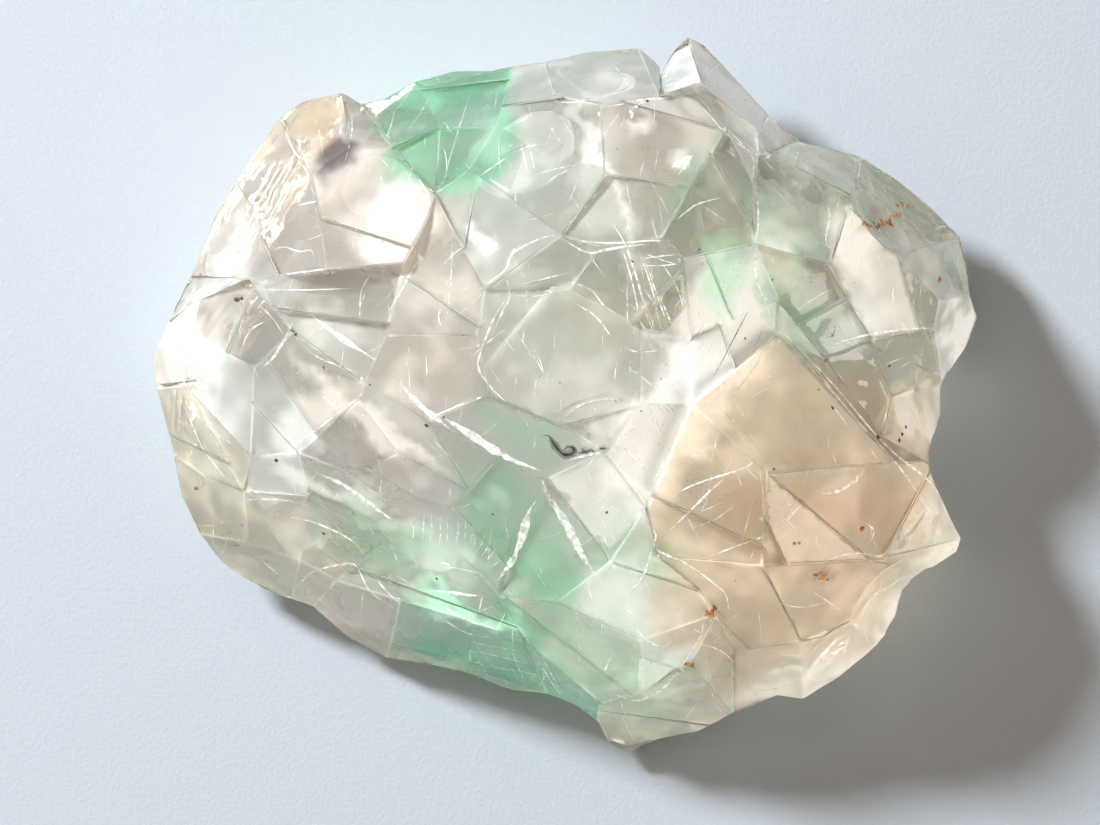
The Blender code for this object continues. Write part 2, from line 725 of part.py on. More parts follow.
def cut_splits(body):
    """Cut the narrow wedge-shaped splits that open at the outline."""
    for x0, y0, x1, y1, width, bottom in SPLITS:
        start = Vector((x0, y0, 0.0))
        end = Vector((x1, y1, 0.0))
        along = (end - start).normalized()
        side = Vector((-along.y, along.x, 0.0)) * width * 0.5
        mesh = bmesh.new()
        corners = [start + side, start - side, end]
        top = [mesh.verts.new(point + Vector((0.0, 0.0, 24.0))) for point in corners]
        low = [mesh.verts.new(point + Vector((0.0, 0.0, bottom))) for point in corners]
        bmesh.ops.convex_hull(mesh, input=top + low)
        take_away(body, make_object("split", mesh))


def finish(body):
    """Bring the lump to its size in metres, as triangles, and give it its stone material."""
    mesh = bmesh.new()
    mesh.from_mesh(body.data)
    bmesh.ops.triangulate(mesh, faces=mesh.faces, quad_method="BEAUTY", ngon_method="BEAUTY")
    across = [vert.co.x for vert in mesh.verts]
    along = [vert.co.y for vert in mesh.verts]
    wide = MM * WIDTH / (max(across) - min(across))
    deep = MM * DEPTH / (max(along) - min(along))
    bmesh.ops.scale(mesh, vec=(wide, deep, MM), verts=mesh.verts)
    mesh.to_mesh(body.data)
    mesh.free()
    stone = bpy.data.materials.new("fluorite_stone")
    stone.use_nodes = True
    shader = stone.node_tree.nodes["Principled BSDF"]
    shader.inputs["Base Color"].default_value = (0.62, 0.66, 0.60, 1.0)
    shader.inputs["Roughness"].default_value = 0.25
    shader.inputs["IOR"].default_value = 1.434
    body.data.materials.clear()
    body.data.materials.append(stone)


def build():
    """Build the lump and leave it in the scene as one object."""
    for item in list(bpy.data.objects):
        bpy.data.objects.remove(item)
    corners = corner_table()
    flatten_faces(corners)
    faces = {label: listing.split() for label, listing in FACES.items()}
    ring = [name for name, x, y, z in OUTLINE]
    for step in STEPS:
        cut_step(corners, faces, ring, step)
    mesh = net_mesh(corners, faces, ring)
    cut_underside(mesh, [corners[name] for name in ring])
    body = make_object("fluorite", mesh)
    cut_scoops(body, corners, faces)
    cut_splits(body)
    finish(body)
    return body


build()
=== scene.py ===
"""The looks of a fluorite specimen: a broken, see-through lump with flat cleavage faces.

The lump is a finely divided copy of the modelled solid. Its faces get a slight swell, ripples
and hackle as real shape, and one see-through material. Colour zones, milky zones and rust are
stored on its mesh by place; the mint zones, one white zone and the whiter narrow faces between
the flat ones are painted highlights. Fractures, scratches, iron films, a dark inclusion, rust
beads and dust are thin slivers and grains on it, and the white slivers along the edges of steps
are painted highlights. It rests on a pale floor in light from the upper left.
"""

import math
import random

import bpy
from bpy.props import FloatProperty, FloatVectorProperty, PointerProperty
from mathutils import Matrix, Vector, noise
from mathutils.bvhtree import BVHTree


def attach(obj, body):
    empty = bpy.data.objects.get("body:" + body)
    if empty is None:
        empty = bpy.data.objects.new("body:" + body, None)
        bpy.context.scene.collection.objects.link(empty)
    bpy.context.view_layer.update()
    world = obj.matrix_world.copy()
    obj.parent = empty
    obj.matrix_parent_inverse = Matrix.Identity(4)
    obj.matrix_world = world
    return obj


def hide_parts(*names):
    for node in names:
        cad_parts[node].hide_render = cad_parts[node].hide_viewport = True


bl_info = {
    "name": "Fluorite Specimen",
    "version": (1, 0, 0),
    "blender": (4, 5, 0),
    "location": "3D View > Sidebar > Fluorite",
    "description": "Finishes a broken lump of fluorite and sets it on a pale floor",
    "category": "Object",
}

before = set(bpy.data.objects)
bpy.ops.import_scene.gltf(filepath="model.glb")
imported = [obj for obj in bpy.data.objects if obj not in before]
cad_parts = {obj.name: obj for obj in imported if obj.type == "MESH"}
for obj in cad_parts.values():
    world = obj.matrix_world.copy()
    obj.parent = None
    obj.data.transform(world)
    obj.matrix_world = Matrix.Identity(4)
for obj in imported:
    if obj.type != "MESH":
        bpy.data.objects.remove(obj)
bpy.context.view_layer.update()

MM = 0.001
NODE = "fluorite"
PIECES = (
    "fluorite_lump", "fracture_lines", "golden_lines", "dark_inclusion_and_dust", "rust_beads"
)

# The view: how much of the lump's rim level its width shows, and what its middle looks at.
VIEW_WIDTH = 55.0 * MM
VIEW_MIDDLE = (-0.8 * MM, -0.82 * MM)
RIM_HEIGHT = 6.5 * MM
CAMERA_DISTANCE = 0.60
SENSOR_WIDTH = 36.0

# The lights: name, place from the lump's middle, size, share of the key light and colour.
LUMP_MIDDLE = Vector((0.0, 0.0, 8.0 * MM))
LIGHTS = [
    ("key", (-0.310, 0.262, 0.30), 0.09, 1.0, (0.91, 0.97, 1.0)),
    ("soft", (-0.24, 0.20, 0.42), 0.6, 0.28, (1.0, 0.90, 0.78)),
    ("bounce", (0.37, -0.31, 0.24), 0.4, 0.85, (1.0, 0.95, 0.88)),
]
ROOM_COLOUR = (1.0, 0.80, 0.62, 1.0)
ROOM_STRENGTH = 0.13
FLOOR_SIZE = 16.0
FLOOR_GAP = 0.01 * MM  # the floor lies this far under the base, so that the two don't flicker

# The stone: how light bends in it, what passes through its clear and its milky share, and how
# much it dims with depth.
REFRACTION = 1.434
CLEAR_TRANSMISSION = 0.97
MILKY_TRANSMISSION = 0.3
MILKY_ROUGHNESS = 0.5
DIMMING_COLOUR = (0.93, 0.93, 0.90, 1.0)
DIMMING_DENSITY = 30.0
RUST_TINT = (0.30, 0.11, 0.02)

SMOOTH_ANGLE = math.radians(24)  # edges sharper than this stay crisp
SOLID_WELD = 0.002 * MM
SLIVER_WELD = 0.0005 * MM
LINE_STEP = 0.22  # millimetres between the points of a fine line


class FluoriteSettings(bpy.types.PropertyGroup):
    """Sizes and colours of the specimen that a user would change."""

    facet_grain: FloatProperty(
        name="Facet Grain",
        description="Longest edge left in the lump's mesh",
        default=0.46 * MM,
        min=0.1 * MM,
        unit="LENGTH",
    )
    unevenness: FloatProperty(
        name="Unevenness",
        description="How far the faces swell and dip",
        default=0.028 * MM,
        unit="LENGTH",
    )
    hackle: FloatProperty(
        name="Hackle",
        description="Depth of the rough, splintery patches",
        default=0.05 * MM,
        unit="LENGTH",
    )
    ripple: FloatProperty(
        name="Ripples",
        description="Depth of the shell-shaped ripples",
        default=0.035 * MM,
        unit="LENGTH",
    )
    body_colour: FloatVectorProperty(
        name="Body Colour",
        description="Colour of the clear stone",
        subtype="COLOR",
        default=(0.94, 0.91, 0.81),
        min=0.0,
        max=1.0,
    )
    green_colour: FloatVectorProperty(
        name="Green Colour",
        description="Colour of the green zones",
        subtype="COLOR",
        default=(0.12, 0.84, 0.40),
        min=0.0,
        max=1.0,
    )
    tan_colour: FloatVectorProperty(
        name="Tan Colour",
        description="Colour of the tan wedge",
        subtype="COLOR",
        default=(0.92, 0.68, 0.43),
        min=0.0,
        max=1.0,
    )
    frost: FloatProperty(
        name="Frost",
        description="Share of milky, broken surface over the clear faces",
        default=1.2,
        min=0.0,
        max=2.0,
        subtype="FACTOR",
    )
    key_strength: FloatProperty(
        name="Key Light",
        description="Power of the light from the upper left",
        default=3.6,
        min=0.0,
        unit="POWER",
    )
    floor_colour: FloatVectorProperty(
        name="Floor Colour",
        description="Colour of the pale floor",
        subtype="COLOR",
        default=(0.59, 0.64, 0.71),
        min=0.0,
        max=1.0,
    )


class Value:
    """A number from a node's socket, so that shader maths reads as an expression."""

    def __init__(self, nodes, socket):
        self.nodes = nodes
        self.socket = socket

    def _maths(self, operation, first, second):
        made = self.nodes.add("ShaderNodeMath", {"operation": operation}, [first, second])
        return Value(self.nodes, made.outputs[0])

    def __add__(self, other):
        return self._maths("ADD", self, other)

    __radd__ = __add__

    def __rsub__(self, other):
        return self._maths("SUBTRACT", other, self)

    def __mul__(self, other):
        return self._maths("MULTIPLY", self, other)

    __rmul__ = __mul__

    def clamp(self):
        """Return the number held between 0 and 1."""
        made = self.nodes.add("ShaderNodeClamp", {}, [self, 0.0, 1.0])
        return Value(self.nodes, made.outputs[0])

    def between(self, low, high):
        """Return a smooth step from 0 at low to 1 at high."""
        settings = {"interpolation_type": "SMOOTHSTEP"}
        made = self.nodes.add("ShaderNodeMapRange", settings, [self, low, high, 0.0, 1.0])
        return Value(self.nodes, made.outputs[0])


class Nodes:
    """Adds nodes to one material's tree."""

    def __init__(self, material):
        material.use_nodes = True
        self.tree = material.node_tree
        self.tree.nodes.clear()

    def add(self, kind, settings=None, values=()):
        """Add a node, set its settings first, and then fill or link its sockets."""
        node = self.tree.nodes.new(kind)
        for name, setting in (settings or {}).items():
            setattr(node, name, setting)
        pairs = values.items() if isinstance(values, dict) else enumerate(values)
        for key, value in pairs:
            socket = node.inputs[key]
            if isinstance(value, Value):
                self.tree.links.new(value.socket, socket)
            elif isinstance(value, bpy.types.NodeSocket):
                self.tree.links.new(value, socket)
            else:
                socket.default_value = value
        return node

    def place(self):
        """Return the place in the object, in millimetres."""
        coordinates = self.add("ShaderNodeTexCoord")
        scale = {"operation": "SCALE"}
        values = {0: coordinates.outputs["Object"], "Scale": 1.0 / MM}
        return self.add("ShaderNodeVectorMath", scale, values).outputs[0]

    def noise(self, place, scale, detail):
        """Return soft noise with its middle at one half."""
        values = {"Vector": place, "Scale": scale, "Detail": detail, "Roughness": 0.6}
        made = self.add("ShaderNodeTexNoise", {"noise_dimensions": "3D"}, values)
        return Value(self, made.outputs["Fac"])

    def mix(self, share, under, over):
        """Return the colour over laid on the colour under by a share."""
        settings = {"data_type": "RGBA", "blend_type": "MIX"}
        values = {"Factor": share, 6: self._colour(under), 7: self._colour(over)}
        return self.add("ShaderNodeMix", settings, values).outputs[2]

    def _colour(self, colour):
        return colour if isinstance(colour, bpy.types.NodeSocket) else (*colour, 1.0)


def only_select(item):
    """Make one object the only selected one and the active one."""
    bpy.ops.object.select_all(action="DESELECT")
    item.select_set(True)
    bpy.context.view_layer.objects.active = item


def divide_long_edges(item, longest):
    """Split every edge longer than a length, until none is left."""
    only_select(item)
    for _ in range(9):
        mesh = item.data
        points = [vert.co.copy() for vert in mesh.vertices]
        for polygon in mesh.polygons:
            polygon.select = False
        for vert in mesh.vertices:
            vert.select = False
        found = 0
        for edge in mesh.edges:
            first, second = edge.vertices
            edge.select = (points[first] - points[second]).length > longest
            found += edge.select
        if not found:
            break
        bpy.ops.object.mode_set(mode="EDIT")
        bpy.ops.mesh.select_mode(type="EDGE")
        bpy.ops.mesh.subdivide(number_cuts=1)
        bpy.ops.mesh.select_all(action="SELECT")
        bpy.ops.mesh.quads_convert_to_tris(quad_method="SHORTEST_DIAGONAL")
        bpy.ops.object.mode_set(mode="OBJECT")


# Patches of the top where the surface is splintery: middle x, y, then half sizes and turn.
HACKLE_PATCHES = [
    (7.6, 3.6, 2.6, 4.4, -22),
    (3.4, -3.2, 3.6, 2.2, 30),
    (-12.6, -0.6, 3.4, 2.8, -30),
    (-7.4, -7.4, 4.4, 1.8, -28),
    (-14.2, -5.4, 4.2, 1.6, -34),
    (15.6, 7.8, 2.6, 2.0, 20),
    (15.8, -11.4, 2.6, 3.6, -34),
    (9.2, -13.6, 4.0, 1.8, 12),
    (16.4, -0.4, 1.8, 2.2, 0),
    (4.8, -11.2, 3.4, 3.8, -20),
    (-2.6, -9.6, 2.2, 3.0, 25),
]

# Shell-shaped ripples: centre x, y, nearest and farthest reach, wave length.
RIPPLES = [
    (-10.2, -1.6, 4.0, 10.0, 0.62),
    (0.8, 1.6, 1.0, 3.6, 0.72),
    (-12.0, -15.8, 4.2, 8.6, 0.8),
    (2.6, 20.4, 3.4, 7.6, 0.9),
    (13.0, -3.4, 3.2, 8.6, 1.1),
    (3.8, -10.0, 2.4, 6.0, 0.7),
    (-18.8, 12.4, 4.8, 9.0, 0.95),
    (16.8, 12.8, 3.6, 8.2, 0.85),
]


def soft_step(low, high, value):
    """Return a smooth step from 0 at low to 1 at high."""
    share = min(max((value - low) / (high - low), 0.0), 1.0)
    return share * share * (3.0 - 2.0 * share)


def patch_share(x, y, patch):
    """Return how far inside a turned oval patch a place is, from 0 to 1."""
    middle_x, middle_y, half_x, half_y, turn = patch
    angle = math.radians(turn)
    across = (x - middle_x) * math.cos(angle) + (y - middle_y) * math.sin(angle)
    along = (y - middle_y) * math.cos(angle) - (x - middle_x) * math.sin(angle)
    return 1.0 - soft_step(0.75, 1.25, math.hypot(across / half_x, along / half_y))


def relief(x, y, z, settings):
    """Return how far the surface moves outward at a place given in millimetres."""
    place = Vector((x, y, z))
    swell = noise.noise(place * 0.42) + 0.45 * noise.noise(place * 1.3 + Vector((7, 3, 1)))
    moved = settings.unevenness * swell
    rough = max(patch_share(x, y, patch) for patch in HACKLE_PATCHES)
    if z < 4.0:
        rough = max(rough, 0.5)
    splinter = noise.ridged_multi_fractal(place * 1.5, 0.9, 2.1, 3, 0.9, 2.0)
    moved += settings.hackle * (0.12 + 0.88 * rough) * (splinter - 1.1) * 0.6
    for middle_x, middle_y, near, far, length in RIPPLES:
        away = math.hypot(x - middle_x, y - middle_y)
        if near < away < far:
            fade = min(away - near, far - away) / (far - near) * 2.0
            bent = away + 0.35 * noise.noise(place * 0.5 + Vector((0, 5, 0)))
            wave = math.sin(math.tau * bent / length)
            moved += settings.ripple * fade * wave * 0.55
    return moved * soft_step(0.05, 0.9, z)


class FLUORITE_OT_lump(bpy.types.Operator):
    """Make the finished lump from a finely divided copy of the modelled solid."""

    bl_idname = "fluorite.lump"
    bl_label = "Fluorite Lump"

    def execute(self, context):
        settings = context.scene.fluorite_settings
        solid = bpy.data.objects[NODE]
        lump = bpy.data.objects.new("fluorite_lump", solid.data.copy())
        context.scene.collection.objects.link(lump)
        only_select(lump)
        bpy.ops.object.mode_set(mode="EDIT")
        bpy.ops.mesh.select_all(action="SELECT")
        bpy.ops.mesh.remove_doubles(threshold=SOLID_WELD)
        bpy.ops.object.mode_set(mode="OBJECT")
        paint_faces(lump, settings)
        divide_long_edges(lump, settings.facet_grain)
        bpy.ops.object.mode_set(mode="EDIT")
        bpy.ops.mesh.select_all(action="SELECT")
        bpy.ops.mesh.vertices_smooth(factor=0.3, repeat=1)
        bpy.ops.object.mode_set(mode="OBJECT")
        self._shape_faces(lump, settings)
        paint_zones(lump, settings)
        bpy.ops.object.shade_smooth_by_angle(angle=SMOOTH_ANGLE)
        lump.data.materials.clear()
        lump.data.materials.append(stone_material(settings))
        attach(lump, "root")
        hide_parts(NODE)
        return {"FINISHED"}

    def _shape_faces(self, lump, settings):
        normals = [vert.normal.copy() for vert in lump.data.vertices]
        for vert, normal in zip(lump.data.vertices, normals):
            x, y, z = vert.co / MM
            if z < 0.02:
                vert.co.z = 0.0
                continue
            vert.co += normal * relief(x, y, z, settings)


def zone_share(x, y, zone):
    """Return how far inside a soft-edged, turned oval a place is, from 0 to 1."""
    (middle_x, middle_y), (half_x, half_y), turn, edge = zone
    angle = math.radians(turn)
    across = (x - middle_x) * math.cos(angle) + (y - middle_y) * math.sin(angle)
    along = (y - middle_y) * math.cos(angle) - (x - middle_x) * math.sin(angle)
    away = math.hypot(across / half_x, along / half_y)
    return 1.0 - soft_step(1.0 - edge, 1.0 + edge, away)


# The looks of the flat faces on top: x, y of a face's middle, its tint, and how milky it is.
FACE_LOOKS = [
    (-12.3, 13.4, "brown", 0.20),
    (-10.2, 13.6, "grey", 0.15),
    (-9.2, 10.2, "pink", 0.42),
    (-10.0, 7.4, "pink", 0.34),
    (-14.6, 10.4, "pink", 0.30),
    (-17.0, 8.2, "pink", 0.36),
    (-18.0, 6.3, "white", 0.40),
    (-11.0, 4.8, "grey", 0.20),
    (-11.8, 2.8, "grey", 0.32),
    (-16.0, 3.7, "pink", 0.24),
    (-17.5, 1.2, "white", 0.55),
    (-12.4, 1.0, "pink", 0.30),
    (-13.6, -1.4, "white", 0.45),
    (-19.4, 1.6, "cream", 0.60),
    (-17.8, -2.0, "cream", 0.45),
    (-18.9, -3.6, "cream", 0.38),
    (-17.4, -6.6, "pink", 0.36),
    (-15.2, -8.6, "cream", 0.34),
    (-14.4, -6.4, "cream", 0.30),
    (-8.0, 14.5, "green", 0.16),
    (-5.2, 15.4, "green", 0.22),
    # a painted highlight on the green wedge
    (-5.2, 12.2, "mint_highlight", 0.20),
    (-7.1, 11.9, "white", 0.50),
    (1.0, 16.0, "grey", 0.36),
    (4.4, 16.3, "white", 0.50),
    (-0.8, 13.8, "grey", 0.34),
    (-1.4, 10.6, "grey", 0.24),
    (-4.2, 9.0, "grey", 0.36),
    (-6.2, 6.6, "pink", 0.26),
    (-6.6, 4.8, "grey", 0.34),
    (-6.8, 1.2, "pink", 0.26),
    (2.6, 13.4, "pink", 0.28),
    (5.6, 12.6, "pink", 0.36),
    (2.9, 8.9, "grey", 0.28),
    (7.0, 10.6, "pale_green", 0.20),
    (7.8, 8.4, "olive", 0.18),
    (6.8, 16.8, "white", 0.55),
    (8.0, 15.2, "white", 0.70),
    (8.4, 13.6, "white", 0.62),
    (10.4, 13.2, "white", 0.50),
    (11.6, 11.6, "olive", 0.26),
    (13.6, 11.6, "grey", 0.24),
    (10.6, 9.2, "grey", 0.22),
    (16.2, 9.6, "olive", 0.22),
    (18.6, 8.4, "olive", 0.30),
    (19.5, 6.2, "grey", 0.36),
    (14.8, 6.2, "white", 0.46),
    (17.0, 5.4, "grey", 0.26),
    (12.6, 5.4, "olive", 0.20),
    (11.8, 3.6, "pale_green", 0.22),
    (19.6, 2.9, "white", 0.55),
    (15.3, 0.9, "brown", 0.08),
    (17.5, 1.9, "olive", 0.12),
    (17.6, -1.5, "white", 0.34),
    (7.9, 6.0, "white", 0.55),
    (8.8, 4.6, "pale_green", 0.50),
    (8.0, 2.6, "white", 0.80),
    (5.2, 1.2, "white", 0.55),
    (3.8, -2.2, "white", 0.60),
    (4.4, 5.6, "olive", 0.16),
    (3.0, 6.6, "grey", 0.24),
    (-0.6, 6.9, "grey", 0.30),
    (-1.2, 3.0, "grey", 0.26),
    (1.6, 0.6, "grey", 0.34),
    (-2.8, -2.4, "pale_green", 0.26),
    (1.8, -1.6, "grey", 0.20),
    (1.4, -5.0, "white", 0.60),
    (4.4, -7.8, "white", 0.62),
    (-0.4, -7.8, "pale_green", 0.48),
    (3.2, -10.0, "white", 0.62),
    (6.0, -12.4, "white", 0.62),
    (-1.0, -12.0, "pale_green", 0.52),
    (1.4, -13.6, "pale_green", 0.50),
    (4.0, -16.2, "cream", 0.36),
    (8.0, -14.4, "cream", 0.34),
    (-0.4, -14.6, "green", 0.22),
    (10.6, 0.8, "tan", 0.44),
    (9.8, -2.2, "tan", 0.46),
    (13.8, -0.6, "brown", 0.12),
    (13.6, -5.4, "tan", 0.42),
    (17.0, -4.6, "tan", 0.50),
    (6.8, -4.0, "tan", 0.34),
    (6.2, -7.0, "tan", 0.42),
    (11.6, -6.8, "orange", 0.34),
    (18.4, -7.4, "cream", 0.50),
    (13.6, -8.9, "tan", 0.50),
    (15.8, -10.8, "cream", 0.62),
    (14.0, -13.4, "cream", 0.66),
    (8.4, -9.4, "tan", 0.50),
    (7.8, -11.8, "pink", 0.56),
    (10.4, -13.8, "cream", 0.62),
    (11.2, 3.0, "white", 0.50),
    (-7.6, -1.2, "grey", 0.34),
    (-5.2, -2.9, "pale_green", 0.30),
    (-2.6, -5.4, "pale_green", 0.26),
    (-4.6, -7.6, "pale_green", 0.30),
    (-7.6, -4.6, "lilac", 0.34),
    (-10.6, -2.2, "lilac", 0.22),
    (-9.6, -5.0, "grey", 0.30),
    (-11.4, -6.4, "pale_green", 0.24),
    (-14.6, -3.9, "white", 0.50),
    (-6.4, -8.0, "pale_green", 0.32),
    (-11.4, -8.2, "cream", 0.28),
    (-7.0, -9.4, "pale_green", 0.34),
    (-3.8, -10.4, "white", 0.40),
    (-10.4, -11.2, "pink", 0.34),
    (-6.0, -12.2, "pale_green", 0.14),
    (-2.4, -13.0, "pale_green", 0.16),
    (-13.2, -9.6, "cream", 0.40),
]

FACE_TILT = math.radians(1.0)  # triangles that meet flatter than this are one face
SMALLEST_FACE = 0.9  # square millimetres; a smaller face is part of an edge

# Colour zones of the stone, laid over each other in this order: the colour's name, the middle
# x, y, the half sizes, the turn, how soft the edge is, and the strength.
COLOUR_ZONES = [
    ("pink", (4.6, 11.4), (4.4, 3.6), -20, 0.3, 0.75),
    ("pink", (-11.2, 9.6), (5.8, 5.2), 10, 0.3, 0.7),
    ("pink", (-6.6, 2.0), (3.4, 3.8), 0, 0.4, 0.6),
    ("pink", (-8.4, -2.6), (2.6, 1.6), -40, 0.4, 0.6),
    ("grey", (-0.6, 9.4), (3.6, 5.6), -14, 0.4, 0.5),
    ("grey", (-14.4, 1.2), (3.4, 3.4), 0, 0.4, 0.4),
    ("olive", (16.0, 0.6), (2.9, 2.4), 0, 0.3, 0.85),
    ("olive", (2.8, 4.9), (3.4, 1.9), -12, 0.5, 0.5),
    ("olive", (14.8, 9.0), (3.8, 3.2), 0, 0.5, 0.4),
    ("olive", (17.4, 4.6), (2.4, 2.8), 30, 0.5, 0.35),
    ("tan", (11.2, -6.4), (6.4, 8.2), -28, 0.14, 0.85),
    ("orange", (9.2, -5.4), (1.8, 1.3), 10, 0.6, 0.8),
    ("orange", (12.0, -5.4), (2.2, 1.2), -12, 0.6, 0.75),
    ("orange", (15.0, -5.0), (2.4, 1.1), 20, 0.6, 0.6),
    ("orange", (12.4, -8.6), (2.8, 1.5), -20, 0.6, 0.45),
    ("yellow", (-17.8, -4.2), (1.9, 4.6), 28, 0.3, 0.6),
    ("yellow", (-10.4, -6.8), (2.6, 1.6), -30, 0.5, 0.35),
    ("yellow", (6.6, -15.2), (2.8, 1.2), 16, 0.5, 0.35),
    ("green", (-5.9, 13.5), (3.5, 3.1), -14, 0.22, 1.0),
    # a painted highlight on the green wedge
    ("mint_highlight", (-4.9, 13.0), (1.0, 1.5), -30, 0.6, 0.8),
    ("green", (-4.2, -12.4), (4.4, 2.0), -26, 0.28, 1.0),
    # a painted highlight on the green lens
    ("mint_highlight", (-4.8, -11.2), (2.6, 0.9), -24, 0.6, 0.9),
    ("dark_green", (-3.2, -13.8), (1.8, 0.7), -14, 0.5, 0.7),
    ("green", (-2.4, -6.6), (1.9, 3.4), 28, 0.45, 0.6),
    ("green", (-0.6, -8.4), (1.2, 2.0), -10, 0.5, 0.5),
    ("green", (8.0, 6.2), (1.3, 1.9), -12, 0.4, 0.5),
    ("green", (6.5, 10.4), (0.9, 3.2), -26, 0.5, 0.34),
    ("green", (-8.8, -6.6), (3.4, 0.9), -30, 0.5, 0.42),
    ("green", (1.8, -13.2), (4.0, 3.2), -30, 0.5, 0.3),
    ("green", (3.0, -7.8), (2.6, 1.8), -20, 0.5, 0.3),
    ("green", (11.2, 4.6), (1.0, 2.8), 18, 0.5, 0.4),
    ("green", (-2.6, -1.4), (2.4, 0.7), -30, 0.5, 0.3),
    ("smoke", (-11.6, 11.8), (1.1, 1.7), 8, 0.5, 1.0),
    ("brown", (-12.4, 13.4), (1.0, 1.4), -10, 0.5, 0.8),
]

# Snow-white fractured zones, and one painted highlight on the green lens: middle x, y, half
# sizes, turn, edge, strength.
WHITE_ZONES = [
    ((7.5, 3.0), (2.1, 4.8), -22, 0.4, 1.0),
    ((4.4, -2.2), (2.6, 1.8), 40, 0.5, 0.9),
    ((8.6, 14.4), (3.6, 1.1), -42, 0.5, 0.8),
    ((-8.0, 8.8), (1.4, 2.1), -20, 0.5, 0.7),
    ((14.4, 7.4), (1.2, 1.9), 24, 0.5, 0.65),
    ((17.5, -1.0), (0.8, 1.4), -8, 0.5, 0.7),
    ((-9.6, -1.0), (4.4, 0.45), -40, 0.5, 0.6),
    ((16.6, -11.8), (1.1, 4.2), -36, 0.5, 0.5),
    ((19.0, -7.6), (1.6, 1.0), 10, 0.5, 0.4),
    ((-18.8, 2.8), (1.3, 1.6), 0, 0.5, 0.55),
    ((-12.2, -0.9), (2.6, 1.0), 34, 0.5, 0.5),
    ((20.0, 3.6), (0.8, 1.6), -24, 0.5, 0.7),
    ((4.6, -13.6), (2.8, 0.7), 34, 0.5, 0.4),
    ((-11.0, -5.0), (4.2, 0.5), -26, 0.5, 0.5),
    ((2.0, 11.0), (0.35, 4.6), 20, 0.6, 0.35),
    ((-4.6, 7.9), (0.5, 0.5), 0, 0.4, 0.6),
    ((3.4, 13.8), (0.6, 0.4), 20, 0.4, 0.6),
    # a painted highlight on the green lens, not a fracture
    ((-5.0, -10.6), (2.6, 0.35), -24, 0.6, 0.6),
    ((2.6, -10.6), (2.8, 2.2), 20, 0.6, 0.45),
    ((6.0, 11.4), (0.5, 0.7), -20, 0.4, 0.6),
]

# Rust stains and dark specks: middle x, y, half sizes, turn, edge, strength.
RUST_SPOTS = [
    ((15.4, 8.8), (1.1, 0.4), 24, 0.7, 0.9),
    ((12.8, -8.9), (0.6, 0.34), -8, 0.7, 0.95),
    ((7.2, -10.9), (0.4, 0.55), 10, 0.7, 0.95),
    ((6.2, -13.4), (0.45, 0.3), 0, 0.7, 0.8),
    ((19.6, 5.6), (0.4, 0.7), 0, 0.7, 0.5),
    ((-18.4, 0.5), (1.1, 0.25), -10, 0.7, 0.6),
    ((-16.2, 4.8), (0.4, 0.3), 0, 0.7, 0.8),
    ((15.8, -1.8), (0.5, 1.1), 30, 0.7, 0.5),
]


def tints(settings):
    """Return the colours that the faces and zones are named after."""
    return {
        "body": Vector(settings.body_colour),
        "white": Vector((0.97, 0.98, 0.97)),
        "pink": Vector((0.94, 0.80, 0.70)),
        "grey": Vector((0.88, 0.88, 0.80)),
        "lilac": Vector((0.88, 0.82, 0.82)),
        "olive": Vector((0.80, 0.72, 0.52)),
        "brown": Vector((0.62, 0.46, 0.29)),
        "tan": Vector(settings.tan_colour),
        "orange": Vector((0.90, 0.52, 0.20)),
        "cream": Vector((0.97, 0.90, 0.74)),
        "yellow": Vector((0.90, 0.83, 0.54)),
        "green": Vector(settings.green_colour),
        # the colour of the painted highlights on the green zones
        "mint_highlight": Vector((0.48, 0.98, 0.70)),
        "pale_green": Vector((0.76, 0.90, 0.74)),
        "dark_green": Vector((0.10, 0.52, 0.28)),
        "smoke": Vector((0.12, 0.10, 0.10)),
    }


def face_groups(mesh):
    """Return lists of triangles that lie in one plane and touch."""
    beside = {}
    for polygon in mesh.polygons:
        for key in polygon.edge_keys:
            beside.setdefault(key, []).append(polygon.index)
    near = {polygon.index: [] for polygon in mesh.polygons}
    for pair in beside.values():
        if len(pair) == 2:
            first, second = (mesh.polygons[index].normal for index in pair)
            if first.angle(second, math.pi) < FACE_TILT:
                near[pair[0]].append(pair[1])
                near[pair[1]].append(pair[0])
    groups = []
    left = set(near)
    while left:
        waiting = [left.pop()]
        group = []
        while waiting:
            index = waiting.pop()
            group.append(index)
            for other in near[index]:
                if other in left:
                    left.remove(other)
                    waiting.append(other)
        groups.append(group)
    return groups


def paint_faces(lump, settings):
    """Store each flat face's tint and milkiness; the narrow faces between them get a whiter tint,
    a painted highlight along the edges.
    """
    mesh = lump.data
    colours = tints(settings)
    look = mesh.attributes.new("face_look", "FLOAT_COLOR", "FACE")
    for group in face_groups(mesh):
        area = sum(mesh.polygons[index].area for index in group)
        middle = sum((mesh.polygons[i].center * mesh.polygons[i].area for i in group), Vector())
        middle /= max(area, 1e-12) * MM
        up = mesh.polygons[group[0]].normal.z
        if up < 0.12:
            colour, milk = colours["body"], 0.12
        else:
            gaps = [math.hypot(row[0] - middle.x, row[1] - middle.y) for row in FACE_LOOKS]
            _, _, name, milk = FACE_LOOKS[gaps.index(min(gaps))]
            colour = colours[name]
            # narrow faces: a whiter tint that is a painted highlight along the edges, and a
            # little more milk
            if area < SMALLEST_FACE * MM * MM:
                colour, milk = colour.lerp(colours["white"], 0.3), min(milk + 0.1, 0.9)
        for index in group:
            look.data[index].color = (*colour, milk)


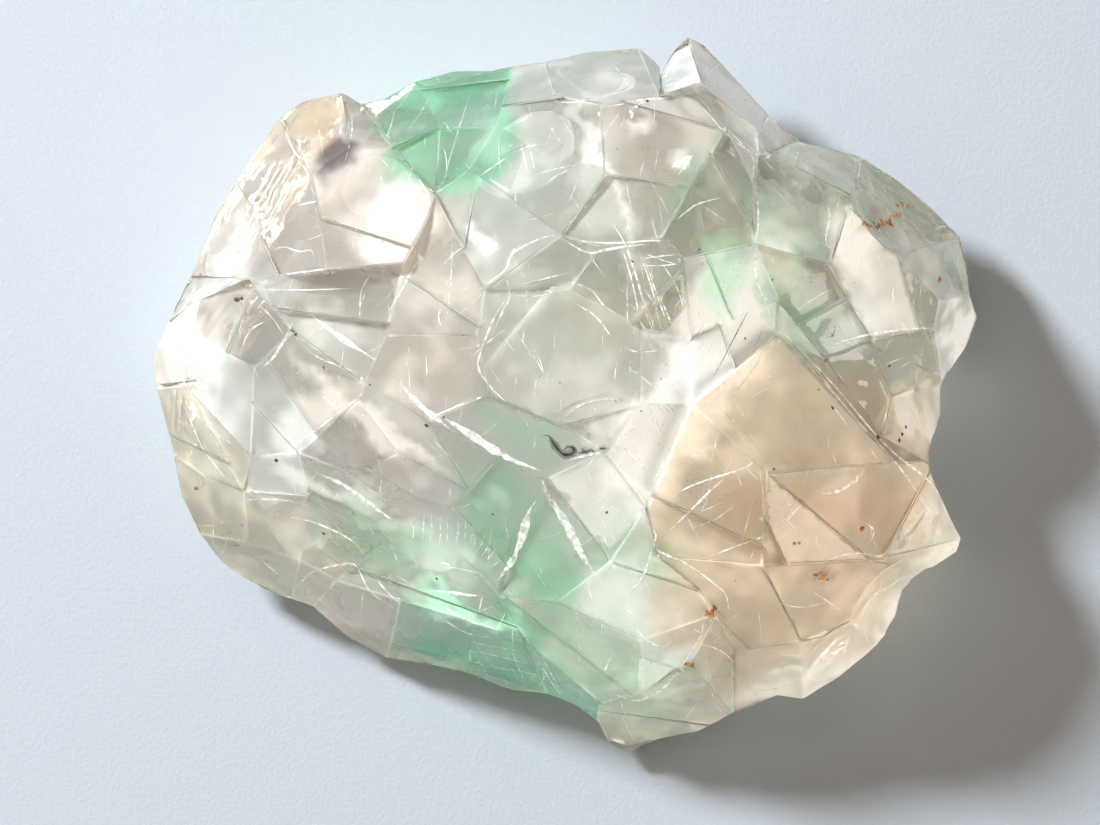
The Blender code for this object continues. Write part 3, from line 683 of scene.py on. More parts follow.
def paint_zones(lump, settings):
    """Store the soft zones' colour and strength, the white of fractures and of a painted
    highlight, and rust at every point.
    """
    mesh = lump.data
    colours = tints(settings)
    tint = mesh.attributes.new("zone_colour", "FLOAT_COLOR", "POINT")
    share = mesh.attributes.new("zone_share", "FLOAT_COLOR", "POINT")
    for index, vert in enumerate(mesh.vertices):
        place = vert.co / MM
        push = noise.noise_vector(place * 0.45) * 1.3 + noise.noise_vector(place * 1.6) * 0.4
        x, y = place.x + push.x, place.y + push.y
        colour = colours["body"]
        strong = 0.0
        smoky = 0.0
        for name, middle, reach, turn, edge, strength in COLOUR_ZONES:
            found = zone_share(x, y, (middle, reach, turn, edge)) * strength
            if name in ("smoke", "brown"):
                smoky = max(smoky, found)
            if found > 0.0:
                over = found + strong * (1.0 - found)
                colour = colour.lerp(colours[name], found / over)
                strong = over
        white = 0.0
        for middle, reach, turn, edge, strength in WHITE_ZONES:
            white = max(white, zone_share(x, y, (middle, reach, turn, edge)) * strength)
        rust = 0.0
        for middle, reach, turn, edge, strength in RUST_SPOTS:
            found = zone_share(place.x, place.y, (middle, reach, turn, edge)) * strength
            rust = max(rust, found)
        rust *= soft_step(-0.2, 0.15, noise.noise(place * 3.2))
        cloud = 0.5 + 0.7 * noise.noise(place * 0.3) + 0.3 * noise.noise(place * 0.9)
        tint.data[index].color = (*colour, min(max(cloud, 0.0), 1.0))
        share.data[index].color = (white, rust, strong, smoky)


def stone_material(settings):
    """Return the see-through stone: a clear share and a milky one, mixed by the stored zones."""
    material = bpy.data.materials.new("fluorite_stone")
    nodes = Nodes(material)
    face = nodes.add("ShaderNodeAttribute", {"attribute_name": "face_look"})
    tint = nodes.add("ShaderNodeAttribute", {"attribute_name": "zone_colour"})
    share = nodes.add("ShaderNodeAttribute", {"attribute_name": "zone_share"})
    parts = nodes.add("ShaderNodeSeparateColor", {}, [share.outputs["Color"]])
    white = Value(nodes, parts.outputs[0])
    strong = Value(nodes, parts.outputs[2])
    rust = Value(nodes, parts.outputs[1])
    colour = nodes.mix(strong, face.outputs["Color"], tint.outputs["Color"])
    colour = nodes.mix(rust, colour, RUST_TINT)

    cloud = Value(nodes, tint.outputs["Alpha"])
    face_milk = Value(nodes, face.outputs["Alpha"])
    smoky = Value(nodes, share.outputs["Alpha"])
    soft_milk = face_milk * (0.5 + settings.frost * 0.55 * cloud)
    soft_milk += 0.2 * cloud.between(0.5, 0.9)
    milk = (soft_milk + white + 0.8 * smoky).clamp()

    rough = (0.015 + 0.05 * cloud.between(0.45, 0.7) + 0.1 * face_milk + 0.2 * white).clamp()
    thin = nodes.mix(0.35, colour, (1.0, 1.0, 1.0))
    values = {"Base Color": thin, "Roughness": rough, "IOR": REFRACTION}
    values["Transmission Weight"] = CLEAR_TRANSMISSION
    clear = nodes.add("ShaderNodeBsdfPrincipled", {}, values)
    pale = nodes.mix(0.35 * (1.0 - smoky), colour, (1.0, 1.0, 0.99))
    values = {"Base Color": pale, "Roughness": MILKY_ROUGHNESS, "IOR": REFRACTION}
    values["Transmission Weight"] = MILKY_TRANSMISSION
    milky = nodes.add("ShaderNodeBsdfPrincipled", {}, values)
    surface = nodes.add("ShaderNodeMixShader", {}, [milk, clear.outputs[0], milky.outputs[0]])
    values = {"Color": DIMMING_COLOUR, "Density": DIMMING_DENSITY}
    body = nodes.add("ShaderNodeVolumeAbsorption", {}, values)
    values = {"Surface": surface.outputs[0], "Volume": body.outputs[0]}
    nodes.add("ShaderNodeOutputMaterial", {}, values)
    return material


def line_rows(text):
    """Return each row's width, depth and places; a row that starts with a space goes on."""
    rows = []
    for row in text.replace("\n ", " ").split("\n"):
        if row.strip():
            width, depth, places = row.split(maxsplit=2)
            rows.append((float(width), float(depth), places))
    return rows


# Fine lines on the stone, each a width, a depth under the surface and its points x y from above:
# white ones are fractures, and those along the edges of steps are a painted highlight.
WHITE_LINES = line_rows(
    """
0.12 0 -15.35 5.85, -13.3 6.1, -11.3 6.3, -8.2 6.45
0.108 0 -7.95 11.95, -7.25 10.7, -6.8 9.8, -6.8 9, -7.25 7.9, -8.2 6.55
0.108 0 -13.35 9.45, -12.75 9.6, -12.15 9.65
0.072 0 -14.7 7.2, -14.05 7.4, -13.2 7.15, -12.6 7.2, -12.5 6.65
0.144 0 -7.75 6.65, -7.5 7.05, -7.2 7.5
0.12 0 -8.9 3.95, -8.2 5.1, -7.6 6.2, -7 7.2
0.06 0 -5.65 8.45, -5.65 6.35, -5.8 4.55, -6.05 3
0.132 0 -5.95 4.65, -6.3 3.95, -6.05 3.1
0.084 0 -9.5 6.25, -10.1 5.3, -10.2 4.3, -10.2 3.4
0.06 0 -15.55 5.3, -12.8 5.25, -9.95 5.35
0.24 0 -15.1 1.4, -14.55 1.85, -13.8 3.05, -13.55 3.75
0.072 0 -13.55 3.1, -12.5 2.05, -11.3 1.5, -9.85 1
0.06 0 -13.35 3.05, -12.2 2.2, -11.4 1.95
0.264 0 -12.8 4.15, -11.65 3.25, -10.8 2.65, -9.3 1.7
0.168 0 -18.8 4.15, -18.5 3.7, -18.25 3.3
0.168 0 -18.65 1.7, -18.85 1.1, -19.1 0.6, -20.3 0.55
0.108 0 -18.15 3.2, -18.4 2.55, -18.8 1.75
0.12 0 -16.15 2.15, -15.9 2.9, -15.5 3.4, -14.9 3.7
0.12 0 -14.05 13.2, -13.75 12.55, -13.45 12.05, -13 11.7
0.072 0 -10.7 14.15, -10.65 13.3, -10.75 12.5, -11 11.4
0.144 0 -0.4 14.5, 0.75 14.55, 1.9 14.8, 2.65 15.2
0.108 0 1.65 14.2, 2.8 14.4, 3.7 14.6, 4.85 14.7, 6.25 14.85
0.12 0 6.25 14.85, 6.85 14.15, 7.85 13, 9.2 11.85, 9.25 10.85, 9.45 9.45, 9.45 8.2, 9.1 6.8,
 9.25 6.1
0.336 0 4.55 15.4, 4.9 15.9, 5.35 16.45, 5.75 17.1
0.12 0 4.75 14.75, 5 15.4, 5.7 15.45, 6.6 15.35
0.072 0 1.9 12.85, 2.3 13.5, 2.7 14.05
0.084 0 -4.3 10.85, -3.6 11.35, -2.8 11.9
0.048 0 -6.15 10.35, -5.55 12.55, -4.65 15.5
0.06 0 -2.75 12, -1.8 12.35, -0.85 12.5
0.06 0 -2.25 12.55, -2.05 11.7, -1.85 10.85
0.06 0 -1.9 12.55, -1.7 11.8, -1.55 11.05
0.06 0 -1.8 10.85, -0.7 11.15, 0.6 11.4
0.168 0 -0.4 7.85, 0.95 7.05, 1.9 7.15, 2.8 7.3, 3.95 7.45
0.12 0 -0.4 7.95, 0.75 7.6, 2.45 7.5, 3.95 7.6, 5.45 7.6
0.06 0 -0.4 7.95, 1.1 9.45, 1.75 10.4, 2.35 11.4
0.156 0 -4.45 5.1, -3.7 5.65, -2.95 6.25, -2.7 6.95, -1.8 7.5, -0.85 7.85, -0.4 7.85
0.096 0 -2.25 5.45, -1.05 5.75, 0.3 6.1
0.072 0 -2.85 5.2, -1.65 5.15, -0.4 5.2
0.06 0 -2.7 4.95, -1.55 4.9, -0.7 5.05
0.12 0 2.1 8.75, 2.8 7.6, 3.25 6.45, 3.7 4.95, 4.2 3.35
0.096 0 2.7 7.4, 3.25 5.55, 3.7 3.35
0.108 0 3.5 7.3, 4.2 5.3, 4.65 3.35
0.084 0 3.85 6.7, 4.45 5, 5.05 3.3
0.084 0 4.75 6.45, 5.45 5.3, 5.8 4.15
0.084 0 3.6 6.7, 4.6 6.85, 5.55 6.95
0.072 0 3.7 7.05, 4.6 6.7, 5.45 6.45
0.072 0 3.7 6.4, 4.7 6.4, 5.7 6.5
0.096 0 5.3 8.55, 5.9 9.05, 6.5 9.45, 7.75 9.8
0.36 0 3.1 14.05, 3.4 14.25, 3.9 14.55
0.288 0 3.2 13.6, 3.25 13.9, 3.1 14.1
0.48 0 5.15 11.25, 5.7 11.5, 6.25 11.85
0.336 0 5.8 11.1, 5.9 11.4, 6.2 11.8
0.132 0 -3.5 3.35, -3.1 4.2, -2.8 4.85, -2.95 5.9
0.096 0 0.05 5.65, 1.2 5.2, 1.9 4.4, 3.15 3.6
0.132 0 -2.8 5, -3.4 4.1, -3.8 3.25, -4.35 1.55, -3.8 0.55, -3.3 0, -2.65 -0.55
0.072 0.1 -3 1.35, -2.7 1.1, -2 1
0.072 0.1 -1.65 0.45, -0.9 1, -0.55 1.9, -0.7 2.8, -1.05 3.5
0.096 0.1 -0.55 3.55, -0.2 2.8, 0.1 2.1, 0.55 0.9
0.084 0.1 -0.1 2.9, 0.4 2.2, 0.8 1.35, 1 0.45
0.108 0 0.1 4.7, 0.85 4.3, 1.55 3.8, 2.45 2.55
0.06 0.1 -3.3 2.3, -3.05 3.05, -2.4 3.55, -1.65 3.7, -1.05 3.5
0.06 0.1 -2.7 1.8, -2.5 2.35, -2 2.7, -1.4 2.65
0.072 0 3.6 4.7, 3.95 3.9, 4.35 3.1
0.06 0 3.8 4.9, 4.15 3.9, 4.45 2.9
0.06 0 4.1 5.05, 4.45 4.05, 4.75 3
0.072 0 4.45 5.2, 4.9 4.2, 5.35 3.1
0.06 0 3.2 4.3, 3.7 3.55, 4.3 2.8
0.084 0 2.7 2.55, 3.3 2.2, 4.2 2.2, 5.1 2.4
0.12 0 0.1 -3.15, 1.2 -2.9, 2.15 -2.7
0.12 0 0.9 -3.7, 1.2 -3.25, 1.45 -2.9
0.408 0 -6.5 -0.8, -4.8 -1.85, -3 -3, -1.25 -3.7
0.072 0 -6.8 -2, -5.95 -2.8, -5.15 -3.7
0.144 0 7.15 -0.2, 6.15 -0.9, 5.5 -2.1, 4.8 -3.45, 4.2 -4.4, 3.75 -5.2
0.156 0 3.75 -5.2, 3.9 -6.05, 4.2 -6.45, 4.45 -6.9, 4.45 -7.6, 5.9 -8.3, 7.25 -9.25,
 7.95 -9.95, 8.1 -11.2
0.12 0 4.8 -5.25, 5.85 -4.6, 6.95 -4.15, 8.8 -3.55, 9.4 -3
0.12 0 -9.8 0.95, -10.1 0.2, -10.35 -0.15, -11.65 -1.15, -12.95 -2.1, -14.55 -3.15
0.192 0 -19.25 -0.15, -18.7 -1.35, -18.2 -2.5, -17.45 -3.55, -16.75 -4.35
0.096 0 -19.25 -0.15, -18.4 -0.95, -17.55 -1.75, -16.5 -2.5
0.084 0 -16.35 -5.2, -15.2 -5.15, -14 -5.2, -12.45 -5.55
0.132 0 -14.55 -5.9, -13.45 -6.1, -12.45 -6.35, -10.85 -7.1, -9.95 -8
0.312 0 -12.45 -3.8, -11.3 -4.3, -10.45 -4.85, -9.4 -5.65, -8.4 -6.35
0.408 0 -8.25 0.65, -7.6 -0.05, -6.95 -0.7, -5.75 -1.6
0.12 0 -6.3 -8.25, -5.7 -8.45, -5.1 -8.55
0.48 0 -3.4 -9.2, -2.9 -8.5, -2.5 -7.85, -2.1 -6.7, -1.85 -5.8, -1.45 -5.1
0.144 0 -13.75 -9.85, -13.2 -9.25, -12.7 -8.8, -11.65 -8.5, -10.6 -8.4, -10.2 -9.05,
 -9.7 -9.85, -8.4 -10.75
0.084 0 -9.7 -8.75, -9.2 -9.5, -8.5 -10.2, -7.8 -10.8
0.108 0 -7.05 -10.1, -6.5 -10.8, -6 -11.25, -4.6 -11.95, -2.6 -12.05
0.084 0 -6.8 -9.8, -6 -10.55, -4.8 -11.25, -2.9 -11.7
0.24 0 -6.95 -9.7, -5.8 -9.8, -4.7 -9.95, -4.15 -9.9
0.108 0 -4.15 -9.9, -4.25 -10.35, -4.35 -10.75
0.084 0 -5.5 -12.6, -4.65 -12.8, -3.8 -12.95, -2.1 -13.35, -1.2 -13.65
0.072 0 -5.2 -12.2, -3.8 -12.5, -2.55 -12.7, -1.4 -12.95
0.072 0 -4.8 -13.3, -3.7 -13.6, -2.3 -13.8, -1.3 -14
0.12 0 -15.6 -7.75, -15.2 -8.25, -14.6 -8.8, -14 -9.3
0.552 0 -1.25 -3.85, -0.95 -4.85, 0 -6.3, 0.8 -7.9, 1.7 -9.25
0.132 0 4.45 -6.9, 4.2 -7.8, 3.85 -8.85, 3.4 -9.45, 2.85 -9.95
0.24 0 6.8 -10.65, 6.8 -11.3, 6.7 -11.9, 6.2 -12.7, 5.7 -13.45, 4.9 -14.55, 4.2 -15,
 3.45 -15.25, 2 -14.75
0.096 0 3.05 -10.85, 3.4 -11.45, 3.85 -12, 4.35 -12.35, 4.9 -12.45, 5.5 -11.9, 6 -11.4, 6.5 -10.85
0.108 0 2.45 -12.6, 2.1 -13.3, 1.8 -14.05
0.12 0 1.8 -10.85, 1.75 -11.45, 1.7 -12
0.072 0 4.05 -13, 4.3 -13.45, 4.6 -13.95
0.096 0 -2.15 -11.7, -1.5 -12.95, -0.85 -14.15, -0.3 -14.95, 0.2 -15.75, 1.2 -16.6, 2.25 -17.3
0.096 0 -1.55 -12.8, -1 -13.4, -0.5 -14.4, 0 -15.2
0.24 0 10.6 3.3, 11.6 2.3, 12.65 1.25, 13.95 -0.2, 15.2 -1.7, 16.45 -2.95, 18.25 -4.35,
 19 -5.7, 19.65 -7.05
0.12 0 10.95 2.8, 12.2 1.3, 13.4 0, 14.45 -1.2, 15.45 -2.3, 16.7 -3.7, 17.75 -5.15, 18.9 -6.8
0.084 0 11.7 2.3, 12.8 0.8, 14.1 -0.8, 15 -2
0.288 0 12.5 -4.85, 13.25 -4.75, 13.9 -4.5, 14.5 -4, 14.9 -3.45
0.096 0 10.7 -6.4, 11.3 -5.7, 11.85 -5.15
0.096 0 6.5 -8.2, 8 -7.6, 9.45 -7.05, 10.85 -6.4
0.144 0 5 -6.8, 6.2 -5.6, 7.2 -4.6, 7.9 -4
0.084 0 12.95 9.55, 13.05 8.75, 12.85 7.65, 13.5 6.85
0.144 0 13.3 2.6, 14.6 2.95, 16 3.2, 17.3 3.35, 18.55 3.4
0.144 0 4.8 14.9, 5.6 14.95, 6.4 14.9, 7.4 13.8, 8.35 12.8, 9.3 12, 10.5 12.15, 11.75 12.45
0.132 0 9.3 11.2, 9.5 9, 9.3 6.95, 9.5 5.5, 10.1 4.5, 10.5 3.75, 10.4 3.15
0.096 0 9.5 5.45, 9.85 4.65, 10.15 3.9
0.072 0 -0.3 -1.2, 0.45 -0.6, 1.2 -0.3, 2.2 -0.15, 3.1 -0.4
0.084 0 4.2 0.8, 4.8 0.05, 5.3 -0.8, 5.7 -1.7
0.084 0 3.7 0.55, 4.45 -0.3, 4.85 -1.2
0.072 0 4.8 1.2, 5.45 0.3, 6.2 -0.3
0.096 0 2.95 1.4, 3.7 0.95, 4.45 0.2, 4.7 -0.45
0.096 0 2.45 -2.2, 3.1 -2.8, 3.7 -3.7
0.096 0 14.7 -6.2, 15.3 -6.7, 15 -7.45
0.084 0 12.7 -8.2, 14.2 -7.8, 15.7 -8
0.072 0 6.7 -10.2, 7.7 -11.3, 8.8 -12.2
0.084 0 9.7 -12.7, 11.2 -12.95, 12.8 -12.6
0.072 0 8.7 -14.7, 10.2 -14.7, 11.7 -14.3
0.096 0 14.7 -10.2, 15.95 -9.7, 16.95 -8.95
0.06 0 10.2 -10.2, 11.7 -10.5, 13.2 -10.2
0.06 0 6.2 -12.2, 7.7 -12.7, 8.7 -13.6
0.072 0 -5.35 -6.05, -5.4 -6.85, -5.55 -7.6
0.072 0 -5 -6.2, -5 -6.7, -5.1 -7.2
0.072 0 -4.6 -6.3, -4.65 -6.85, -4.8 -7.35
0.072 0 -4.3 -6.55, -4.45 -7.05, -4.65 -7.55
0.072 0 -4 -6.9, -4.2 -7.35, -4.45 -7.8
0.072 0 -3.75 -7.2, -3.95 -7.6, -4.25 -8
0.072 0 -3.5 -7.6, -3.7 -7.9, -4 -8.2
0.072 0 -3.3 -8.15, -3.5 -8.35, -3.8 -8.55
0.072 0 -7.05 -5.5, -7.1 -6.45, -7.2 -7.35
0.072 0 -6.7 -5.8, -6.7 -6.55, -6.8 -7.35
0.072 0 -6.3 -5.9, -6.25 -6.75, -6.35 -7.6
0.072 0 -5.9 -5.9, -5.9 -6.65, -5.95 -7.35
0.072 0 -7.6 -6.05, -7.6 -6.7, -7.65 -7.35
"""
)

# Golden lines, where iron has crept into a fracture.
GOLD_LINES = line_rows(
    """
0.07 0 -19.45 0.55, -19 0.45, -18.65 0.4, -18.65 1.3
0.07 0 7.35 -0.45, 8.1 -1.1, 8.8 -1.8, 9.55 -2.7, 10.25 -3.55
0.06 0 13.65 11, 14.55 9.9, 15.55 8.75, 16.3 7.65, 17.1 6.55, 17.9 5.25, 18.65 3.95
0.07 0 8.15 13.55, 8.5 13.45, 8.85 13.2, 9.15 12.8, 9.4 12.45
0.06 0 7.85 -11.2, 7.6 -12.05, 7.25 -12.9, 6.6 -13.75
0.06 0 10.2 2.9, 9.7 2.2, 9.4 1.55, 8.55 0.45, 7.7 -0.6
0.05 0 -18.55 -3.45, -18.35 -4.55, -18.1 -4.3, -18.25 -4
"""
)

# Dark lines: the splintery inclusion near the middle, two open cracks and a fibre.
DARK_LINES = line_rows(
    """
0.05 0 12.95 3.75, 13.35 3.4, 13.2 2.95, 12.9 2.9
0.06 0 9.25 4.7, 8.9 4, 8.5 3.25, 7.8 1.9, 7.05 0.55
0.05 0 5.55 6.7, 6.6 6.9, 7.6 7.15
0.04 0 -2.25 5.4, -1.05 5.7, -0.3 5.95
0.09 0.02 -0.9 -1.35, -0.4 -0.9, 0.1 -0.55, 1 -0.15, 1.9 0, 2.9 -0.2
0.432 0.02 -1.25 -2, -0.9 -1.95, -0.55 -2.45, -0.2 -2.85, 0.1 -2.9, 0.45 -2.7, 0.25 -2.45,
 -0.1 -2.55
0.36 0.02 -0.2 -2.8, 0.05 -2.5, 0.35 -2.6, 0.3 -2.9, 0 -2.95
0.216 0.02 0.55 -2.85, 0.95 -2.75, 1.4 -2.65
0.18 0.02 1.5 -2.65, 1.8 -2.6, 2.15 -2.55
0.126 0.02 1.9 -1.6, 2.05 -2, 2.15 -2.45
0.18 0.02 0.9 -1.95, 1.1 -1.9, 1.35 -1.85
0.144 0.02 1.15 -1.6, 1.3 -1.6, 1.4 -1.65
0.144 0.02 0.9 -2.15, 1.1 -2.1, 1.25 -2.05
0.144 0.02 0.7 -2.55, 0.9 -2.75, 1.1 -2.95
0.144 0.02 1.1 -2.5, 1.3 -2.7, 1.5 -2.9
0.126 0.02 0.84 -0.56, 0.95 -0.42, 1.01 -0.28
0.126 0.02 1.07 -0.62, 1.01 -0.45, 0.9 -0.28
0.126 0.02 1.29 -0.62, 1.2 -0.42, 1.07 -0.23
0.126 0.02 1.51 -0.58, 1.43 -0.39, 1.29 -0.21
0.126 0.02 1.74 -0.45, 1.64 -0.28, 1.51 -0.12
0.126 0.02 2.01 -0.39, 1.93 -0.26, 1.79 -0.12
0.126 0.02 2.29 -0.39, 2.18 -0.23, 2.01 -0.06
0.126 0.02 2.52 -0.39, 2.43 -0.24, 2.29 -0.09
0.126 0.02 2.8 -0.34, 2.71 -0.2, 2.58 -0.06
"""
)

# Beads of rust in the fractures: x, y, reach and how many.
RUST_BEADS = [
    (16.85, 9.55, 0.30, 7),
    (16.5, 9.0, 0.34, 8),
    (15.95, 8.65, 0.38, 10),
    (15.35, 8.4, 0.38, 9),
    (14.8, 8.55, 0.28, 6),
    (12.6, -8.9, 0.30, 7),
    (12.95, -8.98, 0.26, 6),
    (7.15, -10.85, 0.30, 9),
    (7.3, -10.55, 0.20, 5),
    (6.1, -13.35, 0.24, 6),
    (18.65, 5.75, 0.16, 4),
    (11.4, -7.3, 0.14, 3),
    (14.7, -6.6, 0.10, 3),
    (-18.5, -4.6, 0.12, 3),
]

# Dark grains that are larger than dust: x, y and radius.
DARK_GRAINS = [
    (15.5, -2.05, 0.16),
    (16.95, -1.55, 0.13),
    (16.75, -1.9, 0.10),
    (16.6, -2.2, 0.11),
    (16.1, 1.5, 0.08),
    (13.2, -0.6, 0.10),
    (12.5, 0.3, 0.08),
    (-16.35, 4.8, 0.15),
    (-16.1, 4.85, 0.10),
    (-13.55, 3.2, 0.12),
    (-13.4, 3.05, 0.09),
    (-14.4, -3.2, 0.09),
    (-6.9, -1.45, 0.10),
    (-3.65, -5.85, 0.08),
    (2.0, -5.75, 0.07),
    (10.25, -3.6, 0.08),
    (8.85, 2.85, 0.06),
    (6.55, 7.2, 0.07),
    (10.2, 5.75, 0.06),
    (4.0, 14.55, 0.07),
    (-6.05, -1.05, 0.06),
    (-9.7, 0.55, 0.06),
    (-12.0, 1.4, 0.07),
    (-16.2, -6.45, 0.07),
    (-12.1, -6.85, 0.07),
    (-15.0, -8.3, 0.06),
    (-6.45, -9.1, 0.07),
    (-5.05, 3.0, 0.05),
    (-13.0, 10.15, 0.06),
    (-16.35, 7.2, 0.05),
]

NOISE_SEED = 3  # noise vectors follow the clock without a seed
SCRATCHES = 420
SCRATCH_SEED = 5
DUST_GRAINS = 60
DUST_SEED = 8


class Surface:
    """Finds the top of the finished lump under a place seen from above."""

    def __init__(self, lump):
        corners = [vert.co.copy() for vert in lump.data.vertices]
        sides = [tuple(polygon.vertices) for polygon in lump.data.polygons]
        self.tree = BVHTree.FromPolygons(corners, sides)

    def under(self, x, y):
        """Return the point and the normal at x, y in millimetres, or None beside the lump."""
        start = Vector((x * MM, y * MM, 40.0 * MM))
        point, normal, _, _ = self.tree.ray_cast(start, Vector((0.0, 0.0, -1.0)))
        if point is None:
            return None
        if normal.z < 0.0:
            normal = -normal
        return point, normal


def line_places(text):
    """Return points of a smooth line through the points that a text lists as x y, x y."""
    listed = [[float(part) for part in pair.split()] for pair in text.split(", ")]
    return smooth_line([Vector(place) for place in listed])


def smooth_line(listed):
    """Return points of a smooth line through the listed points."""
    ends = [listed[0] * 2 - listed[1], *listed, listed[-1] * 2 - listed[-2]]
    places = []
    for before, start, end, after in zip(ends, ends[1:], ends[2:], ends[3:]):
        steps = max(2, round((end - start).length / LINE_STEP))
        for step in range(steps):
            u = step / steps
            bend = (2 * before - 5 * start + 4 * end - after) * u * u
            turn = (3 * start - before - 3 * end + after) * u * u * u
            places.append((2 * start + (end - before) * u + bend + turn) * 0.5)
    places.append(listed[-1])
    return places


def lay_strand(surface, places, width, depth):
    """Make one closed, tapering sliver that follows the surface; return it, or None."""
    found = [surface.under(*place) for place in places]
    found = [pair for pair in found if pair]
    if len(found) < 3:
        return None
    steps = len(found) - 1
    bpy.ops.object.select_all(action="DESELECT")
    bpy.ops.mesh.primitive_grid_add(x_subdivisions=steps, y_subdivisions=4, size=2.0)
    strand = bpy.context.active_object
    for vert in strand.data.vertices:
        index = min(max(round((vert.co.x + 1.0) * 0.5 * steps), 0), steps)
        around = math.pi * (vert.co.y + 1.0)
        point, normal = found[index]
        ahead = found[min(index + 1, steps)][0] - found[max(index - 1, 0)][0]
        side = ahead.cross(normal).normalized()
        share = index / steps
        uneven = 0.75 + 0.5 * noise.noise(point / MM * 1.7)
        half = 0.5 * width * MM * uneven * min(1.0, 3.0 * share, 3.0 * (1.0 - share))
        rise = min(0.45 * half, 0.03 * MM)
        vert.co = point - normal * (depth * MM)
        vert.co += side * math.cos(around) * half + normal * math.sin(around) * rise
    return strand


def bowed_strand(surface, middle, ahead, bow, width):
    """Make a short sliver through a middle, half its length ahead and bowed by a share of it."""
    aside = middle + Vector((-ahead.y, ahead.x)) * bow
    return lay_strand(surface, smooth_line([middle - ahead, aside, middle + ahead]), width, 0.0)


def finish_strands(strands, name):
    """Join slivers into one piece, merge their ends and turn their faces outwards."""
    strands = [strand for strand in strands if strand]
    bpy.ops.object.select_all(action="DESELECT")
    for strand in strands:
        strand.select_set(True)
    bpy.context.view_layer.objects.active = strands[0]
    bpy.ops.object.join()
    piece = bpy.context.active_object
    piece.name = name
    bpy.ops.object.mode_set(mode="EDIT")
    bpy.ops.mesh.select_all(action="SELECT")
    bpy.ops.mesh.remove_doubles(threshold=SLIVER_WELD)
    bpy.ops.mesh.normals_make_consistent(inside=False)
    bpy.ops.object.mode_set(mode="OBJECT")
    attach(piece, "root")
    return piece


def plain_material(name, colours, roughness, alpha=(1.0, 1.0)):
    """Return an opaque or broken-up material that varies between two colours."""
    material = bpy.data.materials.new(name)
    nodes = Nodes(material)
    change = nodes.noise(nodes.place(), 2.6, 2.0).between(0.35, 0.65)
    low, high = alpha
    values = {"Base Color": nodes.mix(change, *colours), "Roughness": roughness}
    if low < 1.0:
        values["Alpha"] = low + (high - low) * change
    shader = nodes.add("ShaderNodeBsdfPrincipled", {}, values)
    nodes.add("ShaderNodeOutputMaterial", {}, [shader.outputs[0]])
    return material


def add_grain(surface, x, y, size, rng):
    """Set one small, lumpy grain on the surface; return it, or None beside the lump."""
    found = surface.under(x, y)
    if not found:
        return None
    point, normal = found
    bpy.ops.mesh.primitive_ico_sphere_add(subdivisions=1, radius=size * MM)
    grain = bpy.context.active_object
    stretch = Vector((rng.uniform(0.7, 1.4), rng.uniform(0.7, 1.2), rng.uniform(0.5, 0.8)))
    turn = normal.to_track_quat("Z", "Y")
    for vert in grain.data.vertices:
        vert.co = point + turn @ (vert.co * stretch * rng.uniform(0.8, 1.15))
    return grain


class FLUORITE_OT_fractures(bpy.types.Operator):
    """Lay the white fracture lines, the white slivers that are a painted highlight on step edges,
    and the fine scratches.
    """

    bl_idname = "fluorite.fractures"
    bl_label = "Fractures"

    def execute(self, context):
        surface = Surface(bpy.data.objects["fluorite_lump"])
        strands = []
        # white lines: real fractures, and along the edges of steps a painted highlight
        for width, depth, text in WHITE_LINES:
            strands.append(lay_strand(surface, line_places(text), width, depth))
        rng = random.Random(SCRATCH_SEED)
        for _ in range(SCRATCHES):
            x, y = rng.uniform(-20.0, 20.0), rng.uniform(-17.0, 17.0)
            angle = math.radians(rng.choice((-62, -48, 28, 74, 96)) + rng.gauss(0, 9))
            reach = rng.uniform(0.35, 1.5) * rng.uniform(0.5, 1.2)
            ahead = Vector((math.cos(angle), math.sin(angle))) * reach
            bow, width = rng.uniform(-0.12, 0.12), rng.uniform(0.022, 0.05)
            strands.append(bowed_strand(surface, Vector((x, y)), ahead, bow, width))
        for (x, y), (wide, long), turn, _, strength in WHITE_ZONES:
            for _ in range(round(3 * strength * wide * long)):
                across, along = rng.gauss(0, 0.45) * wide, rng.gauss(0, 0.5) * long
                angle = math.radians(turn)
                middle = Vector((x, y))
                middle += Vector((math.cos(angle), math.sin(angle))) * across
                middle += Vector((-math.sin(angle), math.cos(angle))) * along
                lean = angle + math.radians(rng.gauss(90, 16))
                ahead = Vector((math.cos(lean), math.sin(lean))) * rng.uniform(0.2, 0.9)
                bow, width = rng.uniform(-0.15, 0.15), rng.uniform(0.03, 0.08)
                strands.append(bowed_strand(surface, middle, ahead, bow, width))
        # one piece: white fractures and scratches, with painted highlights along step edges
        piece = finish_strands(strands, "fracture_lines")
        white = ((0.97, 0.97, 0.96), (0.93, 0.94, 0.94))
        piece.data.materials.append(plain_material("fracture_white_and_edge_highlight", white, 0.3, (0.3, 1.0)))
        return {"FINISHED"}


